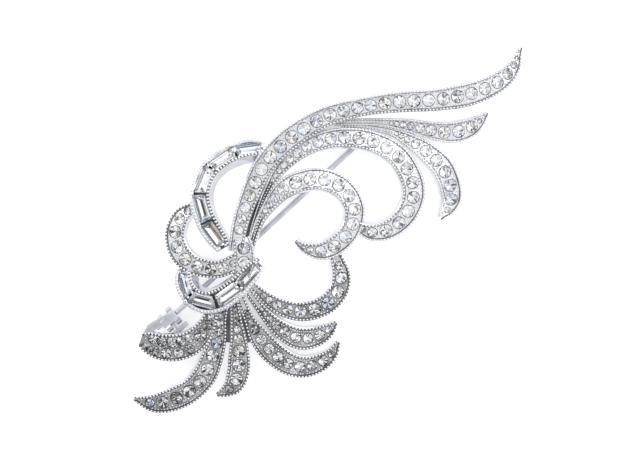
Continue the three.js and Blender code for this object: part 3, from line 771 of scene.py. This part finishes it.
def add_grains(shape, strip, row, dice):
    """Small grains all over the deck wherever no crystal sits."""
    travels, across = [], []
    for travel in np.arange(row[0][0], strip.length - TIP_LEFT_PLAIN, GRAIN_PITCH):
        reach = half_deck(strip.width_at(travel)[0]) - GRAIN_RADIUS
        count = int(max(reach, 0) * 2 / GRAIN_PITCH) + 1
        for place in np.linspace(-reach, reach, count) if count > 1 else (0.0,):
            along = travel + dice.uniform(-GRAIN_SCATTER, GRAIN_SCATTER)
            if all(math.hypot(along - x, place - y) > radius + GRAIN_CLEAR for x, y, radius in row):
                travels.append(along)
                across.append(place)
    if not travels:
        return
    size = GRAIN_RADIUS * dice.uniform(0.8, 1.1, len(travels))
    scales = np.stack([size, size, np.full(len(size), GRAIN_HEIGHT)], axis=1)
    grain = dome(GRAIN_SIDES, 2, GRAIN_SKIRT)
    add_beads(shape, grain, strip, np.array(travels), across, PAVE_RECESS, scales)


def add_root_beads(shape, strip, stop):
    """A single row of round beads along the deck where it is too narrow for crystals."""
    travels = np.arange(ROOT_BEAD_PITCH, stop, ROOT_BEAD_PITCH)
    if not len(travels):
        return
    size = np.minimum(half_deck(strip.width_at(travels)), ROOT_BEAD_PITCH / 2) * ROOT_BEAD_FILL
    bead = dome(BEAD_SIDES, 3, BEAD_SKIRT)
    add_beads(shape, bead, strip, travels, 0, PAVE_RECESS, np.stack([size] * 3, axis=1))


def add_milgrain(shape, strip, rail_full, start, stop):
    """A row of beads along the top of both rails."""
    fine = np.linspace(start, strip.length - stop, 400)
    bead = dome(BEAD_SIDES, 3, BEAD_SKIRT)
    for sign in (-1, 1):
        width = strip.width_at(fine)
        line = strip.at(fine, sign * (width - rail_width(width, rail_full)) / 2, -RAIL_DROP)
        travel = np.concatenate([[0], np.cumsum(np.linalg.norm(np.diff(line, axis=0), axis=1))])
        count = int(travel[-1] / BEAD_PITCH)
        places = np.interp((np.arange(count) + 0.5) * travel[-1] / count, travel, fine)
        width = strip.width_at(places)
        rail = rail_width(width, rail_full)
        scales = np.stack([rail * BEAD_ACROSS, np.full(count, BEAD_PITCH * BEAD_FILL),
                           np.full(count, BEAD_HEIGHT)], axis=1)
        add_beads(shape, bead, strip, places, sign * (width - rail) / 2, RAIL_DROP, scales)


# The looks of a strip's rail tops on its right and left, its face and its plain root, by its tone.
# The darker metals among them are painted shade, for the sides and strips that the light reaches less.
TONES = {
    "usual": (SHADE, DECK, DECK, PAINTED_DEEP_SHADE),
    "lit": (DECK, DECK, DECK, DECK),
    "dark": (PAINTED_DEEP_SHADE, PAINTED_DEEP_SHADE, SHADE, PAINTED_DEEP_SHADE),
}


def pave_strip(name):
    plan = PAVE_STRIPS[name]
    return Strip(plan["stations"], plan["lean"], plan["width"], PAVE_WALL_SHOWING)


def build_pave_strip(name, plan, dice):
    strip = pave_strip(name)
    right_look, left_look, deck_look, root_look = TONES[plan.get("tone", "usual")]
    deck_look, root_look = plan.get("deck", deck_look), plan.get("root", root_look)

    metal = Shape()
    if plan.get("staggered"):
        row = staggered_rows(strip, ROOT_LEFT_PLAIN, TIP_LEFT_PLAIN)
        root_end = row[0][0] - row[0][2]
        travels = np.linspace(0, strip.length, round(strip.length / PLAIN_STEP))
        add_pierced_deck(metal, strip, row, deck_look)
    else:
        start, largest = plan.get("start", ROOT_LEFT_PLAIN), plan.get("largest", CRYSTAL_LARGEST)
        row = crystal_row(strip, start, TIP_LEFT_PLAIN, largest)
        edges = [row[0][0] - row[0][2] - crystal_gap(row[0][2]) / 2]
        for (here, _, radius), (there, _, next_radius) in zip(row[:-1], row[1:]):
            edges.append((here + radius + there - next_radius) / 2)
        edges.append(row[-1][0] + row[-1][2] + crystal_gap(row[-1][2]) / 2)
        root_end, tip_start = edges[0], edges[-1]
        root = np.linspace(0, root_end, max(2, round(root_end / PLAIN_STEP)))
        tip_length = strip.length - tip_start
        tip = np.linspace(tip_start, strip.length, max(2, round(tip_length / PLAIN_STEP)))
        cells = [np.linspace(a, b, CELL_STEPS + 1)[1:] for a, b in zip(edges[:-1], edges[1:])]
        travels = np.concatenate([root, *cells, tip[1:]])
        add_plain_deck(metal, strip, root, RAIL_WIDTH, PAVE_RECESS, root_look)
        add_plain_deck(metal, strip, tip, RAIL_WIDTH, PAVE_RECESS, deck_look)
        for (place, _, radius), start, end in zip(row, edges[:-1], edges[1:]):
            add_cell(metal, strip, start, end, place, radius, deck_look)
    # The rails' inner walls are painted dark on both sides, as painted shade in the channel.
    add_shell(metal, strip, travels, pave_depth, RAIL_WIDTH, PAVE_RECESS,
              side_looks(PAINTED_DEEP_SHADE, right_look), side_looks(PAINTED_DEEP_SHADE, left_look))
    metal.piece(f"{name}_metal", "brooch", METALS, stands_for=("setting",))

    trim = Shape()
    add_milgrain(trim, strip, RAIL_WIDTH, *BEAD_ENDS)
    add_grains(trim, strip, row, dice)
    add_root_beads(trim, strip, root_end)
    trim.piece(f"{name}_milgrain", "brooch", METALS, smooth_angle=50, weld=False)

    crystals = Shape()
    add_crystals(crystals, strip, row, dice, plan.get("painted_dark_facets", USUAL_PAINTED_DARK_FACETS))
    crystals.piece(f"{name}_crystals", "brooch", CRYSTALS, smooth_angle=None, weld=False)


# The strips joined by a web, between which distances it runs along each, and its look.
# The dark webs are painted shade, dark sheets in the gaps between the roots.
WEBS = (
    ("tail_feather_1", (0, 7.5), "tail_feather_2", (0, 10.5), PAINTED_DEEP_SHADE),
    ("tail_feather_2", (0, 9), "tail_feather_3", (0, 9), PAINTED_DEEP_SHADE),
    ("tail_feather_3", (0, 9.5), "tail_feather_4", (0, 10), PAINTED_DEEP_SHADE),
    ("tail_feather_4", (0, 12.5), "tail_feather_5", (0, 11), DECK),
    ("tail_feather_5", (0, 12), "lower_scroll", (0, 7.5), DECK),
    ("top_feather", (0, 12), "outer_scroll", (0, 9), PAINTED_DEEP_SHADE),
    ("top_feather", (23, 33.3), "outer_scroll", (17, 26.3), DECK),
)
WEB_DROP = 1.2
WEB_THICKNESS = 0.3
WEB_STEPS = 24


def build_webs():
    """Sheets between neighbouring roots, seen in the narrow gaps between them; the dark ones are
    painted shade.
    """
    shape = Shape()
    for name, reach, other, other_reach, look in WEBS:
        lines = [pave_strip(strip).at(np.linspace(*span, WEB_STEPS), 0, -WEB_DROP)
                 for strip, span in ((name, reach), (other, other_reach))]
        rows = [np.array([one + (two - one) * share for share in np.linspace(0, 1, 5)])
                for one, two in zip(*lines)]
        top = np.concatenate(rows)
        count = len(top)
        faces = loft_faces(WEB_STEPS, 5, closed=False)
        faces += [tuple(corner + count for corner in reversed(face)) for face in faces]
        shape.add(np.concatenate([top, top - UP * WEB_THICKNESS]), faces, look)
    shape.piece("root_webs", "brooch", METALS, weld=False)


# ---- ribbons and baguettes

# The painted reflections on each baguette's foil: the tint of its six lengthwise steps, from its right
# side to its left.
WHITE, PALE, BLUE = (0.98, 0.99, 1.0), (0.8, 0.84, 0.9), (0.72, 0.82, 0.98)
GREY, DARK, WARM = (0.42, 0.43, 0.46), (0.07, 0.07, 0.08), (0.72, 0.6, 0.5)
BAGUETTE_PAINTED_REFLECTIONS = {
    "upper": (
        (WHITE, BLUE, WHITE, BLUE, PALE, WHITE), (WHITE, WHITE, WHITE, WHITE, WHITE, WHITE),
        (WHITE, WHITE, WHITE, WHITE, WHITE, WHITE), (WHITE, WHITE, WHITE, DARK, WHITE, BLUE),
        (BLUE, BLUE, PALE, WARM, WARM, WARM),
    ),
    "lower": (
        (WHITE, WHITE, PALE, WHITE, WHITE, BLUE), (PALE, WHITE, WHITE, DARK, WHITE, WHITE),
        (PALE, WHITE, WHITE, GREY, WHITE, WHITE), (WHITE, WHITE, WHITE, WHITE, GREY, WHITE),
    ),
}


def baguette_cuts(strip, count, first):
    """Each baguette's own frame, and how far along it its corners lie on its right and left."""
    pitch = (strip.length - first * 2) / count
    for index in range(count):
        start, centre, end = ([v[0] for v in strip.frames(first + pitch * (index + share))]
                              for share in (0, 0.5, 1))
        side, tangent, out = centre[1:4]
        middle = (start[0] + end[0]) / 4 + centre[0] / 2 + side * BAGUETTE_SHIFT

        def along(place, inward, tangent=tangent, middle=middle):
            return [
                (place[0] + place[1] * right * BAGUETTE_SHOWN_WIDTH / 2
                 + place[2] * inward * BAGUETTE_SHOWN_SPACING / 2 - middle) @ tangent
                for right in (1, -1)
            ]
        yield middle, side, tangent, out, along(start, 1), along(end, -1)


def baguette_ring(cut, inset, height):
    """Corners at a height, anticlockwise from above: right start, right end, left end, left start."""
    middle, side, tangent, out, starts, ends = cut
    half = BAGUETTE_SHOWN_WIDTH / 2 - inset
    share = half / BAGUETTE_SHOWN_WIDTH
    ring = []
    for corners, right, shift in ((starts, 1, inset), (ends, 1, -inset), (ends, -1, -inset),
                                  (starts, -1, inset)):
        mean, spread = sum(corners) / 2, corners[0] - corners[1]
        x = mean + right * spread * share + shift
        ring.append(middle + tangent * x + side * right * half + out * height)
    return np.array(ring)


# Insets and heights of a baguette's steps, from its table down to its keel.
BAGUETTE_STEPS = (
    (0.42, 0.0), (0.24, -0.1), (0.0, -0.28), (0.0, -0.34), (0.36, -0.68), (0.72, -0.92), (1.06, -1.04),
)
BAGUETTE_GIRDLE_STEP = 3


def build_baguette(name, cut, foil):
    shape = Shape()
    rings = [baguette_ring(cut, inset, height) for inset, height in BAGUETTE_STEPS]
    count = len(BAGUETTE_STEPS)
    faces = [tuple(reversed(face)) for face in loft_faces(count, 4, closed=True)]
    looks = [GLASS if ring < BAGUETTE_GIRDLE_STEP else FOIL
             for ring in range(count - 1) for _ in range(4)]
    # The foil of the lower steps and of the keel gets the painted reflections; the ends get a mix of
    # the first and last.
    end = tuple((a + b) / 2 for a, b in zip(foil[0], foil[-1]))
    tints = [WHITE] * 12
    for step in range(3):
        tints += [foil[step], end, foil[-1 - step], end]
    faces += [(0, 1, 2, 3), tuple(range(count * 4 - 1, count * 4 - 5, -1))]
    shape.add(np.concatenate(rings), faces, looks + [GLASS, FOIL], tints + [WHITE, foil[3]])
    shape.piece(f"{name}_cut", "brooch", CRYSTALS, (name,), smooth_angle=None)


def build_ribbon(name, plan):
    strip = Strip(plan["stations"], plan["lean"], RIBBON_WIDTH, 0)
    travels = np.linspace(0, strip.length, round(strip.length / PLAIN_STEP))
    metal = Shape()
    # The left inner wall and rail top and the floor under the baguettes are painted dark, as painted
    # shade.
    add_shell(metal, strip, travels, lambda width: RIBBON_DEPTH, RIBBON_RAIL_SHOWN, RIBBON_FLOOR,
              side_looks(BRIGHT, DECK), side_looks(PAINTED_DEEP_SHADE, PAINTED_DEEP_SHADE))
    add_plain_deck(metal, strip, travels, RIBBON_RAIL_SHOWN, RIBBON_FLOOR, PAINTED_DEEP_SHADE)
    metal.piece(f"{name}_ribbon_metal", "brooch", METALS, stands_for=("setting",))

    trim = Shape()
    add_milgrain(trim, strip, RIBBON_RAIL_SHOWN, *RIBBON_BEAD_ENDS)
    pitch = (strip.length - plan["first"] * 2) / plan["baguettes"]
    joins = plan["first"] + pitch * np.arange(plan["baguettes"] + 1)
    prong = dome(PRONG_SIDES, 5, PRONG_SKIRT)
    for join, count in zip(joins, plan["prongs"]):
        radius, places = PRONGS[count]
        for across in places:
            add_beads(trim, prong, strip, join, across, PRONG_DROP, np.full((1, 3), radius))
    trim.piece(f"{name}_ribbon_milgrain", "brooch", METALS, smooth_angle=50, weld=False)

    cuts = baguette_cuts(strip, plan["baguettes"], plan["first"])
    for number, (cut, foil) in enumerate(zip(cuts, BAGUETTE_PAINTED_REFLECTIONS[name]), 1):
        build_baguette(f"{name}_baguette_{number}", cut, foil)


# ---- hinge, pin and catch

pin_run = CATCH_PLACE - HINGE_PLACE
PIN_SPAN = float(np.linalg.norm(pin_run))
ALONG_PIN = np.array((*(pin_run / PIN_SPAN), 0.0))
ACROSS_PIN = np.cross(UP, ALONG_PIN)
PIN_AXES = np.array([ALONG_PIN, ACROSS_PIN, UP])
RING_BORE = ROLLER_BORE + ROLLER_WALL + MOVING_GAP
RING_RADIUS = RING_BORE + RING_WALL
ARM_BASE = PIN_HEIGHT + RING_BORE
ARM_TOP = ARM_BASE + ARM_THICKNESS


def add_on_pin(shape, place, corners, faces):
    """Adds corners given along the pin, across it and up, from a place on the plan."""
    shape.add(np.array((*place, 0.0)) + np.asarray(corners) @ PIN_AXES, faces)


def rounded_box(low, high, radius):
    form = bmesh.new()
    bmesh.ops.create_cube(form, size=1)
    low, high = np.array(low, float), np.array(high, float)
    for corner in form.verts:
        corner.co = (low + high) / 2 + np.array(corner.co) * (high - low)
    bmesh.ops.bevel(form, geom=form.edges[:], offset=radius, segments=3, profile=0.5, affect="EDGES")
    form.verts.index_update()
    corners = [tuple(corner.co) for corner in form.verts]
    faces = [tuple(corner.index for corner in face.verts) for face in form.faces]
    form.free()
    return corners, faces


def rounded_profile(low, high, inner, outer, radius):
    """A rounded rectangle of (distance along, radius) points, clockwise."""
    corners = ((high, inner, -90), (high, outer, 0), (low, outer, 90), (low, inner, 180))
    points = []
    for x, r, start in corners:
        cx = x - radius if x == high else x + radius
        cy = r - radius if r == outer else r + radius
        for turn in np.radians(np.linspace(start, start + 90, 4)):
            points.append((cx + radius * math.cos(turn), cy + radius * math.sin(turn)))
    return points


def turned(profile, mouth_half_angle, steps):
    """A profile of (distance along, radius) turned about the pin's line, open below by the mouth."""
    mouth = math.radians(mouth_half_angle)
    angles = np.linspace(mouth, math.tau - mouth, steps + 1)
    rings = [[(x, r * math.sin(a), PIN_HEIGHT - r * math.cos(a)) for x, r in profile] for a in angles]
    return loft(rings, capped=mouth_half_angle > 0)


def add_turned_across(shape, profile, steps):
    """A closed profile turned about the hinge's line, which runs across the pin."""
    corners, faces = turned(profile, 0, steps)
    add_on_pin(shape, HINGE_PLACE, corners[:, (1, 0, 2)], [tuple(reversed(face)) for face in faces])


def build_hinge():
    shape = Shape()
    half = CHEEK_LENGTH / 2
    inner = KNUCKLE_WIDTH / 2 + MOVING_GAP
    outer = inner + CHEEK_THICKNESS
    for low, high in (
        ((-half, inner, 0), (half, outer, CHEEK_TOP)),
        ((-half, -outer, 0), (half, -inner, CHEEK_TOP)),
        ((-half, -outer, PIN_HEIGHT + KNUCKLE_RADIUS + MOVING_GAP), (half, outer, CHEEK_TOP)),
    ):
        add_on_pin(shape, HINGE_PLACE, *rounded_box(low, high, SOFT_EDGE))
    head = outer + RIVET_HEAD
    profile = [(-head, 0), (-head, RIVET_RADIUS - SOFT_EDGE), (SOFT_EDGE - head, RIVET_RADIUS),
               (head - SOFT_EDGE, RIVET_RADIUS), (head, RIVET_RADIUS - SOFT_EDGE), (head, 0)]
    add_turned_across(shape, profile[::-1], 24)
    shape.piece("hinge", "brooch", FINDINGS, stands_for=("setting",))


def build_catch(tail_feather):
    shape = Shape()
    mouth = math.degrees(math.asin((PIN_RADIUS + MOVING_GAP) / RING_BORE))
    half = CATCH_LENGTH / 2
    for low, high in ((-half, RING_LENGTH - half), (half - RING_LENGTH, half)):
        profile = rounded_profile(low, high, RING_BORE, RING_RADIUS, SOFT_EDGE)
        add_on_pin(shape, CATCH_PLACE, *turned(profile, mouth, 40))
    across = ARM_WIDTH / 2
    plate = rounded_box((-half, -across, ARM_BASE), (half, across, ARM_TOP), SOFT_EDGE)
    add_on_pin(shape, CATCH_PLACE, *plate)

    feather = tail_feather.frames(tail_feather.length * ARM_FEATHER_SHARE)[0][0][:2]
    top = ARM_TOP - ARM_SINK
    stations = [(*(CATCH_PLACE + step), top, 1) for step in ARM_AT_CATCH]
    stations.append((*((CATCH_PLACE + feather) / 2 + ARM_HALF_WAY), top, 1))
    stations += [(*(feather + step), top, 1) for step in ARM_AT_FEATHER]
    arm = Strip(stations, (0, 0, 0), ARM_WIDTH, 0)
    section = np.array(rounded_profile(-across, across, -ARM_THICKNESS, 0, SOFT_EDGE * 2))[::-1]
    rings = [arm.at(np.full(len(section), travel), section[:, 0], section[:, 1])
             for travel in np.linspace(0, arm.length, 30)]
    shape.add(*loft(rings, capped=True))
    shape.piece("catch", "brooch", FINDINGS, stands_for=("setting",))


def build_pin():
    shape = Shape()
    reach = PIN_SPAN + CATCH_LENGTH / 2 + PIN_PAST_CATCH
    start = KNUCKLE_RADIUS - JOINED_DEPTH
    profile = [(reach, 0), (reach - PIN_TIP_ROUND, PIN_TIP_RADIUS),
               (reach - PIN_POINT_LENGTH, PIN_POINT_RADIUS), (reach - PIN_TAPER_LENGTH, PIN_RADIUS),
               (start, PIN_RADIUS), (start, 0)]
    add_on_pin(shape, HINGE_PLACE, *turned(profile, 0, 32))
    half = KNUCKLE_WIDTH / 2
    knuckle = rounded_profile(-half, half, RIVET_RADIUS + MOVING_GAP, KNUCKLE_RADIUS, SOFT_EDGE)
    add_turned_across(shape, knuckle, 40)
    shape.piece("pin", "pin", FINDINGS, ("pin_stem",))


def build_roller():
    shape = Shape()
    half = CATCH_LENGTH / 2
    outer = ROLLER_BORE + ROLLER_WALL
    sleeve = rounded_profile(-half, half, ROLLER_BORE, outer, SOFT_EDGE)
    add_on_pin(shape, CATCH_PLACE, *turned(sleeve, ROLLER_MOUTH_HALF_ANGLE, 30))
    neck, bar = THUMB_NECK_WIDTH / 2, THUMB_BAR_LENGTH / 2
    start = RING_RADIUS + MOVING_GAP
    low, high = PIN_HEIGHT - THUMB_BAR_THICKNESS / 2, PIN_HEIGHT + THUMB_BAR_THICKNESS / 2
    for corner, far in (((-neck, outer - JOINED_DEPTH, low), (neck, start + JOINED_DEPTH, high)),
                        ((-bar, start, low), (bar, start + THUMB_BAR_WIDTH, high))):
        add_on_pin(shape, CATCH_PLACE, *rounded_box(corner, far, SOFT_EDGE))
    shape.piece("roller", "roller", FINDINGS, ("catch_roller",))


# ---- materials


# Cycles of noise per metre, how high the marks stand in mm, and how metallic the foil is.
METAL_CLOUDS = 420
RUBBING_MARKS = 5200
GLASS_CLOUDS = 300
MARK_HEIGHT = 0.02
FOIL_METALLIC = 0.86


def set_sockets(node, sockets):
    for socket, value in sockets.items():
        node.inputs[socket.replace("_", " ")].default_value = value


def new_material(name, **sockets):
    material = bpy.data.materials.new(name)
    material.use_nodes = True
    shader = material.node_tree.nodes["Principled BSDF"]
    set_sockets(shader, sockets)
    return material, material.node_tree, shader


def add_node(tree, kind, **sockets):
    node = tree.nodes.new("ShaderNode" + kind)
    set_sockets(node, sockets)
    return node


def wire(tree, *wires):
    """Links given as node, name of its output, next node and name of its input."""
    for source, output, target, socket in wires:
        tree.links.new(source.outputs[output], target.inputs[socket])


def polished_metal(name, light, dark, rough_low, rough_high, bump):
    """Polished plate: faint cloudiness in its colour and roughness, and fine rubbing marks."""
    material, tree, shader = new_material(name, Metallic=1.0)
    place = add_node(tree, "TexCoord")
    cloud = add_node(tree, "TexNoise", Scale=METAL_CLOUDS, Detail=4)
    colours = add_node(tree, "ValToRGB")
    low, high = colours.color_ramp.elements
    low.position, low.color = 0.35, (*dark, 1)
    high.position, high.color = 0.62, (*light, 1)
    rough = add_node(tree, "MapRange", To_Min=rough_low, To_Max=rough_high)
    marks = add_node(tree, "TexNoise", Scale=RUBBING_MARKS)
    relief = add_node(tree, "Bump", Strength=bump, Distance=MARK_HEIGHT * MM)
    wire(tree, (place, "Object", cloud, "Vector"), (place, "Object", marks, "Vector"),
         (cloud, "Fac", colours, "Fac"), (colours, "Color", shader, "Base Color"),
         (cloud, "Fac", rough, "Value"), (rough, "Result", shader, "Roughness"),
         (marks, "Fac", relief, "Height"), (relief, "Normal", shader, "Normal"))
    return material


def crystal_glass():
    material, tree, shader = new_material(
        "cut_crystal", Transmission_Weight=1.0, IOR=1.56, Roughness=0.0)
    place = add_node(tree, "TexCoord")
    cloud = add_node(tree, "TexNoise", Scale=GLASS_CLOUDS)
    colours = add_node(tree, "ValToRGB")
    low, high = colours.color_ramp.elements
    low.color, high.color = (0.97, 0.985, 1, 1), (1, 1, 1, 1)
    wire(tree, (place, "Object", cloud, "Vector"), (cloud, "Fac", colours, "Fac"),
         (colours, "Color", shader, "Base Color"))
    return material


def crystal_foil():
    """The mirror foil behind a crystal, tinted facet by facet with painted glints and reflections."""
    material, tree, shader = new_material("mirror_foil_with_painted_reflections", Metallic=FOIL_METALLIC, Roughness=0.08)
    tint = add_node(tree, "Attribute")
    tint.attribute_name = "tint"
    wire(tree, (tint, "Color", shader, "Base Color"))
    return material


# The last two metals are the same rhodium painted darker, as painted shade.
METALS = (
    polished_metal("rhodium_bright", (0.72, 0.725, 0.76), (0.63, 0.64, 0.68), 0.08, 0.2, 0.12),
    polished_metal("rhodium_deck", (0.77, 0.775, 0.8), (0.62, 0.63, 0.65), 0.2, 0.35, 0.3),
    polished_metal("rhodium_shade", (0.42, 0.42, 0.425), (0.22, 0.215, 0.215), 0.08, 0.25, 0.6),
    polished_metal("rhodium_painted_deep_shade", (0.17, 0.165, 0.165), (0.09, 0.085, 0.085), 0.35, 0.5, 0.3),
)
FINDINGS = (
    polished_metal("rhodium_findings", (0.58, 0.59, 0.64), (0.48, 0.49, 0.54), 0.12, 0.22, 0.15),
)
CRYSTALS = (crystal_glass(), crystal_foil())

# ---- the brooch

dice = np.random.default_rng(SEED)
for name, plan in PAVE_STRIPS.items():
    build_pave_strip(name, plan, dice)
for name, plan in RIBBONS.items():
    build_ribbon(name, plan)
build_hinge()
build_catch(pave_strip("tail_feather_1"))
build_webs()
build_pin()
build_roller()

# ---- floor, light and camera


def build_floor():
    mesh = bpy.data.meshes.new("floor")
    corners = [(FLOOR_RADIUS * math.cos(a), FLOOR_RADIUS * math.sin(a), 0)
               for a in np.linspace(0, math.tau, 64, endpoint=False)]
    mesh.from_pydata(corners, [], [tuple(range(64))])
    floor = bpy.data.objects.new("floor", mesh)
    bpy.context.scene.collection.objects.link(floor)
    material, _, _ = new_material("floor", Roughness=0.9, Base_Color=FLOOR_GREY,
                                  Emission_Color=(1, 1, 1, 1), Emission_Strength=FLOOR_GLOW)
    mesh.materials.append(material)


def soft_box(name, place, size, power, colour=(1, 1, 1)):
    """A square soft box that faces the brooch."""
    light = bpy.data.lights.new(name, "AREA")
    light.size, light.energy, light.color = size, power, colour
    made = bpy.data.objects.new(name, light)
    made.location = place
    direction = -made.location
    made.rotation_euler = direction.to_track_quat("-Z", "Y").to_euler()
    bpy.context.scene.collection.objects.link(made)


def build_studio():
    """The world: brighter towards one side, and changing with height."""
    world = bpy.data.worlds.new("studio")
    bpy.context.scene.world = world
    world.use_nodes = True
    tree = world.node_tree
    background = tree.nodes["Background"]
    direction = add_node(tree, "TexCoord")
    split = add_node(tree, "SeparateXYZ")
    sky = add_node(tree, "ValToRGB")
    side = add_node(tree, "MapRange", From_Min=-1, From_Max=1,
                    To_Min=SIDE_LEVELS[0], To_Max=SIDE_LEVELS[1])
    towards = add_node(tree, "VectorMath")
    towards.operation = "DOT_PRODUCT"
    towards.inputs[1].default_value = BRIGHT_SIDE
    scaled = add_node(tree, "VectorMath")
    scaled.operation = "SCALE"
    wire(tree, (direction, "Generated", split, "Vector"), (direction, "Generated", towards, 0),
         (split, "Z", sky, "Fac"), (towards, "Value", side, "Value"),
         (sky, "Color", scaled, 0), (side, "Result", scaled, "Scale"),
         (scaled, "Vector", background, "Color"))
    ramp = sky.color_ramp
    while len(ramp.elements) < len(SKY):
        ramp.elements.new(0.5)
    for element, (place, level) in zip(ramp.elements, SKY):
        element.position, element.color = place, (level, level, level * 1.01, 1)
    background.inputs["Strength"].default_value = SKY_STRENGTH


def build_camera():
    data = bpy.data.cameras.new("camera")
    data.lens, data.sensor_width = CAMERA_LENS, CAMERA_SENSOR
    data.clip_start, data.clip_end = 0.05, 20
    camera = bpy.data.objects.new("camera", data)
    view_height = VIEW_WIDTH * CAMERA_LENS / CAMERA_SENSOR
    camera.location = (VIEW_CENTRE[0] * MM, VIEW_CENTRE[1] * MM, (view_height + VIEW_LEVEL) * MM)
    bpy.context.scene.collection.objects.link(camera)
    bpy.context.scene.camera = camera
    bpy.context.scene.view_settings.view_transform = "Standard"
    bpy.context.scene.view_settings.exposure = EXPOSURE


build_floor()
soft_box("key_light", (0.34, 0.4, 0.5), 0.6, 1.8)
soft_box("side_light", (-0.5, 0.2, 0.4), 0.2, 0.7, (0.93, 0.96, 1))
soft_box("low_light", (0.12, -0.5, 0.42), 0.12, 0.3)
build_studio()
build_camera()
